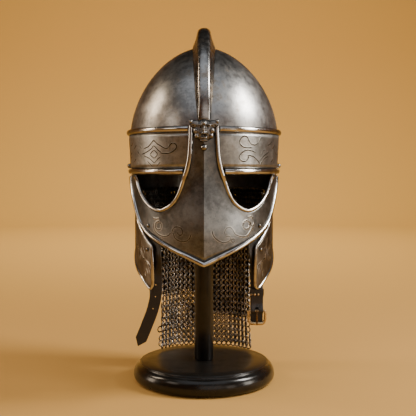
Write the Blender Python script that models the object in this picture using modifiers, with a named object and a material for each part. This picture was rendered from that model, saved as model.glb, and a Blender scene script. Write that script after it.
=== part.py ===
# A crested helmet with a half face mask, cheek plates, mail and chin straps, on a turned wooden stand.
# The origin is the centre of the stand's foot on the floor, -Y is the helmet's front and +Z is up.
# All sizes are in metres, and turns are degrees from the front, positive towards +X.
import math

import bmesh
import bpy
from mathutils import Vector

# Clearance between pieces that touch, and the distance under which mesh points merge
GAP = 0.0003
MERGE = 0.00001

# Stand
BASE_RADIUS = 0.1004
BASE_THICKNESS = 0.027
BASE_TOP_RADIUS = 0.0909
BASE_BEAD = 0.0016
BASE_FOOT_SETBACK = 0.0066
BASE_SWELL = 0.009
POLE_RADIUS = 0.0133
CAP_RADIUS = 0.044
CAP_EDGE = 0.010

# Skull, the bowl of the helmet, with a short skirt behind
BROW_HEIGHT = 0.2964
SPRING_RISE = 0.0466
BOWL_RISE = 0.1266
BOWL_POWER = 1.8
SKULL_HALF_WIDTH = 0.1036
SKULL_HALF_DEPTH = 0.119
SKULL_WALL = 0.0016
WALL_LEAN = 0.05
FRONT_EDGE_RISE = 0.0036
SKIRT_DROP = 0.0304

# Brow band and its two half round rims
BAND_HEIGHT = 0.0533
BAND_WALL = 0.0015
BROW_RIM_HEIGHT = 0.0080
BROW_RIM_DEPTH = 0.0050
BROW_RIM_SIDE_GAP = 0.0012

# Crest
CREST_RISE = 0.0266
CREST_FOOT = 0.0045
CREST_TOP_HALF = 0.0079
CREST_BASE_HALF = 0.0160
CREST_WALL = 0.0015
CREST_START_RISE = 0.0610
CREST_END_RISE = 0.0580

# Cast boss over the nasal, and its ball rivet
BOSS_WIDTH = 0.0384
BOSS_HEIGHT = 0.0284
BOSS_DEPTH = 0.0075
BOSS_RISE = 0.0508
BOSS_RIVET_RADIUS = 0.0042
BOSS_RIVET_RISE = 0.0296

# Mask
MASK_HALF_WIDTH = 0.1019
MASK_LEAN = 0.03
MASK_WALL = 0.0015
MASK_DROP = 0.1176
MASK_RIM_RADIUS = 0.0034
NASAL_RISE = 0.0566
NASAL_TOP_SETBACK = 0.001
NASAL_SWELL_RUN = 0.030
EYE_RIM_RADIUS = 0.0026
NASAL_RIM_RADIUS = 0.0031
NASAL_LIFT_RUN = 0.009
NASAL_HALF_WIDTH = 0.0126
RIDGE_HEIGHT = 0.014
RIDGE_HALF_WIDTH = 0.062
RIDGE_WIDE_DROP = 0.085

# Cheek plates
CHEEK_HALF_WIDTH = 0.09675
CHEEK_HALF_DEPTH = 0.112
CHEEK_WALL = 0.0015
CHEEK_DROP = 0.1551
CHEEK_RIM_RADIUS = 0.0020
CHEEK_FRONT_TURN = 44.3
CHEEK_REAR_TURN = 113.0

# Rivets of the helmet
PLATE_RIVET_RADIUS = 0.0025
TEMPLE_RIVET_RADIUS = 0.0034
TEMPLE_RIVET_RISE = 0.0078

# Mail
MAIL_THICKNESS = 0.0030
MAIL_TOP_OVERLAP = 0.008
MAIL_FOLD = 0.0009

# Leather and the buckle; the tabs behind the mask step forward along a slanting line
TAB_MIDDLE = 0.0725
TAB_SLANT_IN = 0.6
TAB_SLANT_OUT = 0.9
TAB_STEP = 0.004
HANGER_WIDTH = 0.018
HANGER_HEAD = 0.012
HANGER_TAIL = 0.021
LEATHER = 0.0024
STRAP_WIDTH = 0.0168
STRAP_DROP = 0.2320
STRAP_SETBACK = 0.0445
STRAP_LEFT_FORWARD = 0.0055
BUCKLE_DROP = 0.1854
BUCKLE_SETBACK = 0.02645
BUCKLE_WIDTH = 0.0222
BUCKLE_LENGTH = 0.0168
BUCKLE_BAR_RADIUS = 0.0015
BUCKLE_END_RADIUS = 0.0023
LOOP_LEATHER = 0.0018
LOOP_WIDTH = 0.0166
LOOP_LENGTH = 0.0294
LOOP_CLOSED_RISE = 0.011
TONGUE_WIDTH = 0.0024
TONGUE_THICKNESS = 0.0013
BUCKLE_RIVET_RADIUS = 0.0015
BUCKLE_RIVET_PITCH = 0.0047
BUCKLE_RIVET_SHIFT = 0.0029

# Heights and radii that follow from the sizes above
SPRING_HEIGHT = BROW_HEIGHT + SPRING_RISE
CROWN_HEIGHT = SPRING_HEIGHT + BOWL_RISE
UPPER_RIM_HEIGHT = BROW_HEIGHT + BAND_HEIGHT
SKIRT_HEIGHT = BROW_HEIGHT - SKIRT_DROP
BROW_RIM_HALF = BROW_RIM_HEIGHT / 2
BUCKLE_HEIGHT = BROW_HEIGHT - BUCKLE_DROP
BUCKLE_CENTRE = CHEEK_HALF_WIDTH - BUCKLE_SETBACK
STRAP_DEPTH = CHEEK_HALF_DEPTH - STRAP_SETBACK
TAB_OVER_PLATE = BROW_HEIGHT - CHEEK_DROP * 0.5605
TAB_OVER_RIM = BROW_HEIGHT - MASK_DROP * 0.618
SKULL_COLUMNS = 40
BOWL_ROWS = 8

# The mask's lower rim from the chin point round to the temple, as (turn, share of the mask's drop)
MASK_RIM_ROWS = (
    (0, 0.992), (10, 0.925), (25, 0.836), (42, 0.724), (48.5, 0.674), (57.5, 0.581),
    (63, 0.478), (68, 0.369), (73, 0.267), (79, 0.155), (84, 0.07),
)

# The rim of one eye opening from the nasal's top round to the temple, in the same columns
EYE_RIM_ROWS = (
    (8.7, -0.481), (9.2, -0.30), (10.1, -0.14), (12.1, 0.0), (14.9, 0.11), (18.3, 0.24),
    (22.3, 0.334), (28.3, 0.400), (35, 0.427), (43, 0.392), (49.7, 0.328), (55.3, 0.248),
    (59.5, 0.160), (62, 0.058),
)

# Upper and lower edges of a cheek plate's rim, front to back, as (turn, share of the plate's drop)
CHEEK_TOP_ROWS = (
    (CHEEK_FRONT_TURN, 0.66), (45.3, 0.630), (48.7, 0.605), (56.8, 0.534), (64.6, 0.471),
    (74.4, 0.37), (88, 0.262), (100, 0.235), (CHEEK_REAR_TURN, 0.225),
)
CHEEK_BOTTOM_ROWS = (
    (CHEEK_FRONT_TURN, 0.958), (45.4, 0.990), (47.2, 1.0), (51, 0.977), (60, 0.918), (78, 0.815),
    (90, 0.725), (103, 0.655),
    (CHEEK_REAR_TURN, 0.60),
)

# The mail from its top to its hem: share of the drop, half width and depths as shares of its top,
# how much further out its right half hangs, and how many degrees it bends each way from the back
MAIL_ROWS = (
    ("drop", "half_width", "right", "edge", "back", "bend"),
    (0.00, 1.000, 0.00, 1.00, 1.000, 76.0),
    (0.10, 0.897, 0.00, 1.33, 0.970, 72.0),
    (0.20, 0.815, 0.05, 1.80, 0.950, 68.0),
    (0.36, 0.726, 0.09, 2.07, 0.905, 70.0),
    (0.60, 0.680, 0.05, 2.10, 0.835, 74.0),
    (0.80, 0.665, 0.06, 2.05, 0.795, 77.0),
    (1.00, 0.720, 0.07, 1.86, 0.775, 80.0),
)

# Straps from the mask down: share of the drop, centre as a share of the cheek plates' half width,
# half width as a share of the strap's, how flat the strap hangs behind the cheek plate, and how
# free it hangs below it
STRAP_LEFT_ROWS = (
    ("drop", "centre", "half_width", "flat", "free"),
    (0.252, 0.698, 0.60, 0.0, 0.0),
    (0.415, 0.698, 0.60, 0.0, 0.0),
    (0.467, 0.682, 0.56, 0.0, 0.0),
    (0.520, 0.667, 0.51, 0.4, 0.0),
    (0.600, 0.662, 0.49, 1.0, 0.0),
    (0.666, 0.660, 0.48, 1.0, 0.0),
    (0.710, 0.665, 0.465, 1.0, 1.0),
    (0.788, 0.704, 0.46, 1.0, 1.0),
    (0.872, 0.777, 0.46, 1.0, 1.0),
    (0.963, 0.867, 0.46, 1.0, 1.0),
    (1.000, 0.908, 0.04, 1.0, 1.0),
)
STRAP_RIGHT_ROWS = (
    ("drop", "centre", "half_width", "flat", "free"),
    (0.252, 0.698, 0.60, 0.0, 0.0),
    (0.415, 0.698, 0.60, 0.0, 0.0),
    (0.467, 0.708, 0.56, 0.0, 0.0),
    (0.520, 0.7266, 0.51, 0.4, 0.0),
    (0.600, 0.7266, 0.50, 1.0, 0.0),
    (0.642, 0.7266, 0.50, 1.0, 0.0),
    (0.672, 0.7266, 0.50, 1.0, 1.0),
    (0.760, 0.7266, 0.50, 1.0, 1.0),
    (0.866, 0.7266, 0.49, 1.0, 1.0),
)

# Materials: colour, roughness and metallic value
STEEL = ("pewter_steel", (0.23, 0.215, 0.19), 0.38, 1.0)
PLATE = ("engraved_plate", (0.20, 0.175, 0.145), 0.42, 1.0)
RIM = ("polished_rim", (0.55, 0.52, 0.47), 0.22, 1.0)
CAST = ("cast_boss", (0.30, 0.28, 0.25), 0.45, 1.0)
MAIL = ("mail_steel", (0.16, 0.15, 0.13), 0.45, 1.0)
BLACK_LEATHER = ("black_leather", (0.018, 0.016, 0.015), 0.5, 0.0)
BRASS = ("antique_brass", (0.42, 0.27, 0.10), 0.35, 1.0)
BLACK_WOOD = ("black_wood", (0.012, 0.011, 0.011), 0.3, 0.0)


def clear_scene():
    for obj in list(bpy.data.objects):
        bpy.data.objects.remove(obj)


def new_collection(name):
    collection = bpy.data.collections.new(name)
    bpy.context.scene.collection.children.link(collection)
    return collection


clear_scene()
PARTS = new_collection("crested_helmet")
CUTTERS = new_collection("cutters")


def material(finish):
    name, colour, roughness, metallic = finish
    mat = bpy.data.materials.get(name) or bpy.data.materials.new(name)
    mat.use_nodes = True
    shader = mat.node_tree.nodes["Principled BSDF"]
    shader.inputs["Base Color"].default_value = (*colour, 1.0)
    shader.inputs["Roughness"].default_value = roughness
    shader.inputs["Metallic"].default_value = metallic
    return mat


def smooth_shading(mesh):
    mesh.shade_smooth()
    mesh.set_sharp_from_angle(angle=math.radians(35))


def mesh_object(name, bm, finish, collection=None):
    mesh = bpy.data.meshes.new(name)
    bm.to_mesh(mesh)
    bm.free()
    smooth_shading(mesh)
    mesh.materials.append(material(finish))
    obj = bpy.data.objects.new(name, mesh)
    (collection or PARTS).objects.link(obj)
    return obj


def thicken(obj, wall):
    shell = obj.modifiers.new("wall", "SOLIDIFY")
    shell.thickness = wall
    shell.offset = 0.0
    shell.use_even_offset = True
    shell.use_quality_normals = True


def sheet(name, columns, rows, place, wall, finish, mirrored=False):
    """A plate: a flat grid whose points are placed by place(across, along), given a wall."""
    bm = bmesh.new()
    bmesh.ops.create_grid(bm, x_segments=columns, y_segments=rows, size=0.5)
    for vert in bm.verts:
        vert.co = place(vert.co.x + 0.5, vert.co.y + 0.5)
    bmesh.ops.remove_doubles(bm, verts=bm.verts, dist=MERGE)
    obj = mesh_object(name, bm, finish)
    if mirrored:
        mirror = obj.modifiers.new("other half", "MIRROR")
        mirror.merge_threshold = MERGE
    thicken(obj, wall)
    return obj


def swept_bar(name, columns, rows, place, finish):
    """A bar: a grid rolled up across its rows, with its two ends filled."""
    bm = bmesh.new()
    bmesh.ops.create_grid(bm, x_segments=columns, y_segments=rows, size=0.5)
    for vert in bm.verts:
        vert.co = place(vert.co.x + 0.5, vert.co.y + 0.5)
    bmesh.ops.remove_doubles(bm, verts=bm.verts, dist=MERGE)
    open_edges = [edge for edge in bm.edges if edge.is_boundary]
    bmesh.ops.holes_fill(bm, edges=open_edges, sides=0)
    bmesh.ops.recalc_face_normals(bm, faces=bm.faces)
    return mesh_object(name, bm, finish)


def tube(name, points, radius, finish, closed=False, shares=None):
    """A round rod along the points, each with its share of the radius."""
    curve = bpy.data.curves.new(name, "CURVE")
    curve.dimensions = "3D"
    curve.bevel_depth = radius
    curve.bevel_resolution = 1
    curve.use_fill_caps = True
    spline = curve.splines.new("POLY")
    spline.points.add(len(points) - 1)
    for index, (knot, point) in enumerate(zip(spline.points, points)):
        knot.co = (*point, 1.0)
        if shares:
            knot.radius = shares[index]
    spline.use_cyclic_u = closed
    curve.materials.append(material(finish))
    obj = bpy.data.objects.new(name, curve)
    PARTS.objects.link(obj)
    return obj


def turned(name, profile, finish, steps=40):
    """A turned solid: a profile of (radius, height), from the top down the outer side."""
    bm = bmesh.new()
    points = [bm.verts.new((radius, 0, height)) for radius, height in profile]
    for start, end in zip(points, points[1:]):
        bm.edges.new((start, end))
    obj = mesh_object(name, bm, finish)
    screw = obj.modifiers.new("turn", "SCREW")
    screw.steps = steps
    screw.render_steps = steps
    screw.use_merge_vertices = True
    screw.merge_threshold = MERGE
    return obj


def combine(obj, other, operation):
    """Join or cut a piece with another one, which stays as a hidden guide."""
    boolean = obj.modifiers.new(operation.lower(), "BOOLEAN")
    boolean.operation = operation
    boolean.solver = "EXACT"
    boolean.object = other
    other.hide_render = True
    other.display_type = "WIRE"


def box_cutter(name, centre, size):
    bm = bmesh.new()
    bmesh.ops.create_cube(bm, size=1.0)
    bmesh.ops.scale(bm, vec=size, verts=bm.verts)
    bmesh.ops.translate(bm, vec=centre, verts=bm.verts)
    return mesh_object(name, bm, STEEL, CUTTERS)


def ease(value, start, end):
    """A share that runs smoothly from 0 at start to 1 at end."""
    share = min(max((value - start) / (end - start), 0.0), 1.0)
    return share * share * (3 - 2 * share)


def mix(start, end, share):
    return start + (end - start) * share


def smooth_run(points, count):
    """Evenly spaced points on a smooth curve through the given 2D points."""
    knots = [Vector(point) for point in points]
    reach = [0.0]
    for start, end in zip(knots, knots[1:]):
        reach.append(reach[-1] + (end - start).length)
    slopes = []
    for index in range(len(knots)):
        before = max(index - 1, 0)
        after = min(index + 1, len(knots) - 1)
        slopes.append((knots[after] - knots[before]) / (reach[after] - reach[before]))
    run = []
    segment = 0
    for step in range(count + 1):
        at = reach[-1] * step / count
        while segment < len(knots) - 2 and at > reach[segment + 1]:
            segment += 1
        span = reach[segment + 1] - reach[segment]
        t = (at - reach[segment]) / span
        run.append(
            knots[segment] * (2 * t**3 - 3 * t**2 + 1)
            + slopes[segment] * span * (t**3 - 2 * t**2 + t)
            + knots[segment + 1] * (3 * t**2 - 2 * t**3)
            + slopes[segment + 1] * span * (t**3 - t**2)
        )
    return run


def beside(run, distance):
    """The run moved sideways: to its left where distance is positive."""
    moved = []
    for index, point in enumerate(run):
        ahead = run[min(index + 1, len(run) - 1)] - run[max(index - 1, 0)]
        ahead.normalize()
        moved.append(point + Vector((-ahead.y, ahead.x)) * distance)
    return moved


def height_at(run, across):
    """The height of a run, read where it passes a place across."""
    for start, end in zip(run, run[1:]):
        if start.x <= across <= end.x:
            return mix(start.y, end.y, (across - start.x) / (end.x - start.x))
    nearest = run[0] if across < run[0].x else run[-1]
    return nearest.y


def around(turn, half_width, half_depth, height):
    """A point on an oval ring, by its turn from the front in radians."""
    return Vector((half_width * math.sin(turn), -half_depth * math.cos(turn), height))


def slope_at(table, key, column, index):
    """A column's slope at a row, level where the column turns, so that no row is overshot."""
    steps = []
    for low in (index - 1, index):
        if 0 <= low < len(table) - 1:
            span = table[low + 1][key] - table[low][key]
            steps.append((table[low + 1][column] - table[low][column]) / span)
    before, after = steps[0], steps[-1]
    return 2 * before * after / (before + after) if before * after > 0 else 0.0


def row_at(rows, name, value):
    """All columns of a table, read on a smooth line through its rows at a value of the named one."""
    names, table = rows[0], rows[1:]
    key = names.index(name)
    low = 0
    while low < len(table) - 2 and value > table[low + 1][key]:
        low += 1
    span = table[low + 1][key] - table[low][key]
    t = (value - table[low][key]) / span
    read = {}
    for column, title in enumerate(names):
        first = slope_at(table, key, column, low) * span
        last = slope_at(table, key, column, low + 1) * span
        read[title] = (table[low][column] * (2 * t**3 - 3 * t**2 + 1) + first * (t**3 - 2 * t**2 + t)
                       + table[low + 1][column] * (3 * t**2 - 2 * t**3) + last * (t**3 - t**2))
    return read


# The helmet's wall

def wall_radii(height, outside=0.0):
    """Half width and half depth of the skull's outer face at a height, moved outwards."""
    if height < SPRING_HEIGHT:
        lean = WALL_LEAN * (SPRING_HEIGHT - height)
        return SKULL_HALF_WIDTH - lean + outside, SKULL_HALF_DEPTH - lean + outside
    climb = min((height - SPRING_HEIGHT) / (BOWL_RISE + outside), 1.0)
    share = (1 - climb**BOWL_POWER) ** (1 / BOWL_POWER)
    return (SKULL_HALF_WIDTH + outside) * share, (SKULL_HALF_DEPTH + outside) * share


def bowl_point(turn, climb, outside):
    """A point on the bowl, climb running from 0 at the spring line to 1 at the crown."""
    angle = climb * math.pi / 2
    share = math.cos(angle) ** (2 / BOWL_POWER) if climb < 1 else 0.0
    rise = (BOWL_RISE + outside) * math.sin(angle) ** (2 / BOWL_POWER)
    return around(turn, (SKULL_HALF_WIDTH + outside) * share,
                  (SKULL_HALF_DEPTH + outside) * share, SPRING_HEIGHT + rise)


def skull_edge(turn):
    """Height of the skull's lower edge: over the eyes in front, a skirt behind."""
    behind = ease(-math.cos(turn), 0.0, 0.15)
    return mix(BROW_HEIGHT + FRONT_EDGE_RISE, SKIRT_HEIGHT, behind)


def make_skull():
    straight_rows = 2
    rows = straight_rows + BOWL_ROWS
    middle = -SKULL_WALL / 2

    def place(across, along):
        turn = math.tau * across
        row = round(along * rows)
        if row <= straight_rows:
            height = mix(skull_edge(turn), SPRING_HEIGHT, row / straight_rows)
            return around(turn, *wall_radii(height, middle), height)
        return bowl_point(turn, (row - straight_rows) / BOWL_ROWS, middle)

    return sheet("skull", SKULL_COLUMNS, rows, place, SKULL_WALL, STEEL)


def make_brow_band():
    low = BROW_HEIGHT + BROW_RIM_HALF + GAP
    high = UPPER_RIM_HEIGHT - BROW_RIM_HALF - GAP

    def place(across, along):
        height = mix(low, high, along)
        return around(math.tau * across, *wall_radii(height, GAP + BAND_WALL / 2), height)

    return sheet("brow_band", SKULL_COLUMNS, 2, place, BAND_WALL, PLATE)


def make_brow_rim(name, height, nasal_turn):
    """A half round bar round the helmet, open in front where the nasal's rim crosses it."""
    nasal_side = math.sin(math.radians(nasal_turn)) * MASK_HALF_WIDTH
    first = math.asin((nasal_side + NASAL_RIM_RADIUS + BROW_RIM_SIDE_GAP) / SKULL_HALF_WIDTH)
    step = math.tau / SKULL_COLUMNS
    turns = [first]
    turns += [step * index for index in range(2, SKULL_COLUMNS - 1)]
    turns += [math.tau - first]
    sides = 6

    def place(across, along):
        turn = turns[round(across * (len(turns) - 1))]
        angle = math.tau * (round(along * sides) % sides) / sides
        level = height + BROW_RIM_HALF * math.sin(angle)
        bulge = GAP + BROW_RIM_DEPTH * max(math.cos(angle), 0.0)
        return around(turn, *wall_radii(height, bulge), level)

    return swept_bar(name, len(turns) - 1, sides, place, RIM)


# The mask

def mask_radii(height, outside=0.0):
    """Half width and half depth of the middle of the mask's plate at a height."""
    over_band = GAP + BAND_WALL + GAP + MASK_WALL / 2
    if height > BROW_HEIGHT:
        half_depth = wall_radii(height)[1] + over_band
        return MASK_HALF_WIDTH + outside, half_depth + outside
    lean = MASK_LEAN * (BROW_HEIGHT - height)
    half_depth = wall_radii(BROW_HEIGHT)[1] + over_band
    return MASK_HALF_WIDTH - lean + outside, half_depth - lean + outside


def ridge(across, height):
    """How far the plate stands out in the middle: a sharp nose line that widens downwards."""
    reach = mix(NASAL_HALF_WIDTH, RIDGE_HALF_WIDTH, ease(BROW_HEIGHT - height, 0.0, RIDGE_WIDE_DROP))
    return RIDGE_HEIGHT * reach / RIDGE_HALF_WIDTH * max(1 - abs(across) / reach, 0.0) ** 1.5


def mask_point(turn, height, outside=0.0):
    point = around(turn, *mask_radii(height, outside), height)
    point.y -= ridge(point.x, height)
    return point


def mask_pattern(rows, count):
    """A rim's rows as a smooth run in the flat pattern: (turn in arc length, height)."""
    points = [(math.radians(turn) * MASK_HALF_WIDTH, BROW_HEIGHT - MASK_DROP * share)
              for turn, share in rows]
    return smooth_run(points, count)


def nasal_lift(height):
    """The rims stand higher on the nasal, where they cross the brow band."""
    start = BROW_HEIGHT - BROW_RIM_HALF - NASAL_LIFT_RUN
    return ease(height, start, start + NASAL_LIFT_RUN) * (NASAL_RIM_RADIUS - MASK_WALL / 2 + GAP)


def make_mask():
    edge = beside(mask_pattern(MASK_RIM_ROWS, 40), MASK_RIM_RADIUS + GAP)
    eye = beside(mask_pattern(EYE_RIM_ROWS, 17), -EYE_RIM_RADIUS - 2 * GAP)
    nasal_top = BROW_HEIGHT + NASAL_RISE - NASAL_TOP_SETBACK
    nasal_edge = eye[0].x - (NASAL_RIM_RADIUS - EYE_RIM_RADIUS)
    brow_edge = BROW_HEIGHT - BROW_RIM_HALF - GAP
    temple = edge[-1].x
    upper = [Vector((nasal_edge * share, nasal_top)) for share in (0.0, 0.5, 1.0)]
    upper += [point for point in eye[1:] if point.y < nasal_top - 4 * NASAL_TOP_SETBACK]
    last = eye[-1].x
    upper += [Vector((mix(last, temple, step / 4), brow_edge)) for step in range(1, 5)]
    reach = [0.0]
    for start, end in zip(upper, upper[1:]):
        reach.append(reach[-1] + (end - start).length)
    lower = []
    for point, at in zip(upper, reach):
        across = 0.75 * point.x + 0.25 * temple * at / reach[-1]
        lower.append(Vector((across, height_at(edge, across))))
    columns = len(upper) - 1

    def place(across, along):
        index = round(across * columns)
        spot = lower[index].lerp(upper[index], along)
        return mask_point(spot.x / MASK_HALF_WIDTH, spot.y)

    return sheet("mask", columns, 6, place, MASK_WALL, PLATE, mirrored=True)


def make_mask_rim():
    run = mask_pattern(MASK_RIM_ROWS, 17)
    points = [mask_point(spot.x / MASK_HALF_WIDTH, spot.y) for spot in run]
    other = [Vector((-point.x, point.y, point.z)) for point in reversed(points[1:])]
    return tube("mask_rim_lower", other + points, MASK_RIM_RADIUS, RIM)


def make_eye_rim(name, side):
    run = mask_pattern(EYE_RIM_ROWS, 22)
    points = []
    shares = []
    for spot in run:
        point = mask_point(spot.x / MASK_HALF_WIDTH, spot.y, nasal_lift(spot.y))
        points.append(Vector((side * point.x, point.y, point.z)))
        on_nasal = ease(spot.y, BROW_HEIGHT - NASAL_SWELL_RUN, BROW_HEIGHT)
        shares.append(mix(1.0, NASAL_RIM_RADIUS / EYE_RIM_RADIUS, on_nasal))
    return tube(name, points, EYE_RIM_RADIUS, RIM, shares=shares)


# Cheek plates

def cheek_point(side, turn, height, outside=0.0):
    point = around(turn, CHEEK_HALF_WIDTH + outside, CHEEK_HALF_DEPTH + outside, height)
    point.x *= side
    return point


def cheek_pattern(rows, count):
    points = [(math.radians(turn) * CHEEK_HALF_DEPTH, BROW_HEIGHT - CHEEK_DROP * share)
              for turn, share in rows]
    return smooth_run(points, count)


def make_cheek_plate(name, side):
    inset = CHEEK_RIM_RADIUS + GAP
    top = beside(cheek_pattern(CHEEK_TOP_ROWS, 40), -inset)
    bottom = beside(cheek_pattern(CHEEK_BOTTOM_ROWS, 40), inset)
    first = math.radians(CHEEK_FRONT_TURN) * CHEEK_HALF_DEPTH + inset
    last = math.radians(CHEEK_REAR_TURN) * CHEEK_HALF_DEPTH - inset

    def place(across, along):
        at = mix(first, last, across)
        height = mix(height_at(bottom, at), height_at(top, at), along)
        return cheek_point(side, at / CHEEK_HALF_DEPTH, height)

    return sheet(name, 14, 3, place, CHEEK_WALL, PLATE)


def make_cheek_rim(name, side):
    top = cheek_pattern(CHEEK_TOP_ROWS, 12)
    bottom = cheek_pattern(CHEEK_BOTTOM_ROWS, 12)
    loop = top + list(reversed(bottom))
    points = [cheek_point(side, spot.x / CHEEK_HALF_DEPTH, spot.y) for spot in loop]
    return tube(name, points, CHEEK_RIM_RADIUS, RIM, closed=True)


# Crest and boss

def on_bowl(point, outside):
    """The point moved along its ray from the bowl's middle onto the bowl's outer face."""
    ray = point - Vector((0, 0, SPRING_HEIGHT))
    level = math.hypot(ray.x / SKULL_HALF_WIDTH, ray.y / SKULL_HALF_DEPTH)
    size = (level**BOWL_POWER + (abs(ray.z) / BOWL_RISE) ** BOWL_POWER) ** (1 / BOWL_POWER)
    surface = ray / size
    return Vector((0, 0, SPRING_HEIGHT)) + surface + surface.normalized() * outside


def crest_angle(rise):
    """The angle up the bowl's middle line whose height is the rise above the lower brow rim."""
    share = (rise - SPRING_RISE) / BOWL_RISE
    return math.asin(share ** (BOWL_POWER / 2))


def make_crest():
    start = crest_angle(CREST_START_RISE)
    end = math.pi - crest_angle(CREST_END_RISE)
    seat = 2 * GAP + CREST_WALL / 2
    rows = 18
    # One side of the section: share of the way out from top to base width, and share of the height
    section = ((0.0, 0.0, 1.0), (0.55, 0.0, 0.97), (0.85, 0.0, 0.89), (1.0, 0.02, 0.79),
               (1.0, 0.42, 0.38), (1.0, 1.0, 0.0))
    middle = len(section) - 1

    def place(across, along):
        angle = mix(start, end, along)
        swell = math.sin(math.pi * along) ** 0.8 if 0 < along < 1 else 0.0
        tall = mix(CREST_FOOT, CREST_RISE, swell) - CREST_WALL / 2
        index = round(across * 2 * middle) - middle
        on_top, out, up = section[abs(index)]
        top_half = mix(CREST_TOP_HALF * 0.88, CREST_TOP_HALF, swell)
        base_half = mix(top_half * 1.05, CREST_BASE_HALF, swell)
        half = top_half * on_top + (base_half - top_half) * out - CREST_WALL / 2 * on_top
        side = 1 if index > 0 else -1
        share = abs(math.cos(angle)) ** (2 / BOWL_POWER)
        depth = math.copysign(share * SKULL_HALF_DEPTH, -math.cos(angle))
        rise = BOWL_RISE * math.sin(angle) ** (2 / BOWL_POWER)
        ridge_line = Vector((side * half, depth, SPRING_HEIGHT + rise))
        return on_bowl(ridge_line, seat + (tall - seat) * up)

    return sheet("crest", 2 * middle, rows, place, CREST_WALL, STEEL)


def lump(name, centre, size, back, finish, collection=None, segments=12, rings=8):
    """An oval lump with a flat back at the given depth."""
    bm = bmesh.new()
    bmesh.ops.create_uvsphere(bm, u_segments=segments, v_segments=rings, radius=1.0)
    bmesh.ops.scale(bm, vec=size, verts=bm.verts)
    bmesh.ops.translate(bm, vec=centre, verts=bm.verts)
    everything = bm.verts[:] + bm.edges[:] + bm.faces[:]
    cut = bmesh.ops.bisect_plane(bm, geom=everything, dist=MERGE, plane_co=(0, back, 0),
                                 plane_no=(0, 1, 0), clear_outer=True)
    rim = [item for item in cut["geom_cut"] if isinstance(item, bmesh.types.BMEdge)]
    if rim:
        bmesh.ops.holes_fill(bm, edges=rim, sides=0)
    bmesh.ops.recalc_face_normals(bm, faces=bm.faces)
    return mesh_object(name, bm, finish, collection)


def make_boss():
    """A cast beast's head: a shield with two ears, a brow, a snout and two cheek curls."""
    middle = BROW_HEIGHT + BOSS_RISE
    nasal_face = mask_point(0.0, middle - BOSS_HEIGHT / 2, MASK_WALL / 2).y
    back = nasal_face - GAP
    half = BOSS_WIDTH / 2
    tall = BOSS_HEIGHT / 2
    boss = lump("crest_boss", (0, back, middle), (half * 0.59, BOSS_DEPTH * 0.6, tall), back, CAST)
    # Each lump: place across and up, half width and half height, all as shares, and its depth
    lumps = (
        ("ear_left", -0.62, 0.70, 0.38, 0.22, 0.55),
        ("ear_right", 0.62, 0.70, 0.38, 0.22, 0.55),
        ("brow", 0.0, 0.38, 0.50, 0.26, 0.85),
        ("snout", 0.0, -0.28, 0.27, 0.52, 1.0),
        ("cheek_left", -0.36, -0.30, 0.24, 0.38, 0.75),
        ("cheek_right", 0.36, -0.30, 0.24, 0.38, 0.75),
    )
    for name, across, up, wide, high, deep in lumps:
        centre = (across * half, back, middle + up * tall)
        size = (wide * half, deep * BOSS_DEPTH, high * tall)
        other = lump(name, centre, size, back - GAP / 2, CAST, CUTTERS, segments=8, rings=6)
        combine(boss, other, "UNION")
    return boss


def rivet(name, point, outwards, radius, height, finish):
    """A domed rivet head with a flat back, seated on a face at the point."""
    bm = bmesh.new()
    bmesh.ops.create_uvsphere(bm, u_segments=8, v_segments=6, radius=1.0)
    everything = bm.verts[:] + bm.edges[:] + bm.faces[:]
    cut = bmesh.ops.bisect_plane(bm, geom=everything, dist=MERGE, plane_co=(0, 0, -0.35),
                                 plane_no=(0, 0, 1), clear_inner=True)
    rim = [item for item in cut["geom_cut"] if isinstance(item, bmesh.types.BMEdge)]
    bmesh.ops.holes_fill(bm, edges=rim, sides=0)
    bmesh.ops.translate(bm, vec=(0, 0, 0.35), verts=bm.verts)
    bmesh.ops.scale(bm, vec=(radius, radius, height / 1.35), verts=bm.verts)
    turn = Vector(outwards).to_track_quat("Z", "Y").to_matrix()
    bmesh.ops.rotate(bm, cent=(0, 0, 0), matrix=turn, verts=bm.verts)
    bmesh.ops.translate(bm, vec=Vector(point) + Vector(outwards).normalized() * GAP, verts=bm.verts)
    bmesh.ops.recalc_face_normals(bm, faces=bm.faces)
    return mesh_object(name, bm, finish)


def oval_normal(point, half_width, half_depth):
    return Vector((point.x / half_width**2, point.y / half_depth**2, 0)).normalized()


def make_plate_rivets(side, hand):
    """The rivets of one side: at the temple, on the mask and on the cheek plate."""
    outside = GAP + BAND_WALL
    height = BROW_HEIGHT + TEMPLE_RIVET_RISE
    temple = around(side * math.radians(90), *wall_radii(height, outside), height)
    rivet("temple_rivet_" + hand, temple, (side, 0, 0), TEMPLE_RIVET_RADIUS,
          TEMPLE_RIVET_RADIUS * 1.5, RIM)
    height = BROW_HEIGHT - MASK_DROP * 0.603
    spot = mask_point(math.radians(46.2), height, MASK_WALL / 2)
    spot.x *= side
    rivet("mask_rivet_" + hand, spot, oval_normal(spot, *mask_radii(height)),
          PLATE_RIVET_RADIUS, PLATE_RIVET_RADIUS * 0.9, RIM)
    height = BROW_HEIGHT - CHEEK_DROP * 0.667
    spot = cheek_point(side, math.radians(50.3), height, CHEEK_WALL / 2)
    rivet("cheek_rivet_" + hand, spot, oval_normal(spot, CHEEK_HALF_WIDTH, CHEEK_HALF_DEPTH),
          PLATE_RIVET_RADIUS, PLATE_RIVET_RADIUS * 0.9, RIM)


def make_boss_rivet():
    height = BROW_HEIGHT + BOSS_RIVET_RISE
    spot = mask_point(0.0, height - BOSS_RIVET_RADIUS, MASK_WALL / 2)
    spot.z = height
    rivet("boss_rivet", spot, (0, -1, 0), BOSS_RIVET_RADIUS, BOSS_RIVET_RADIUS * 1.5, RIM)


# Mail

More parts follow.
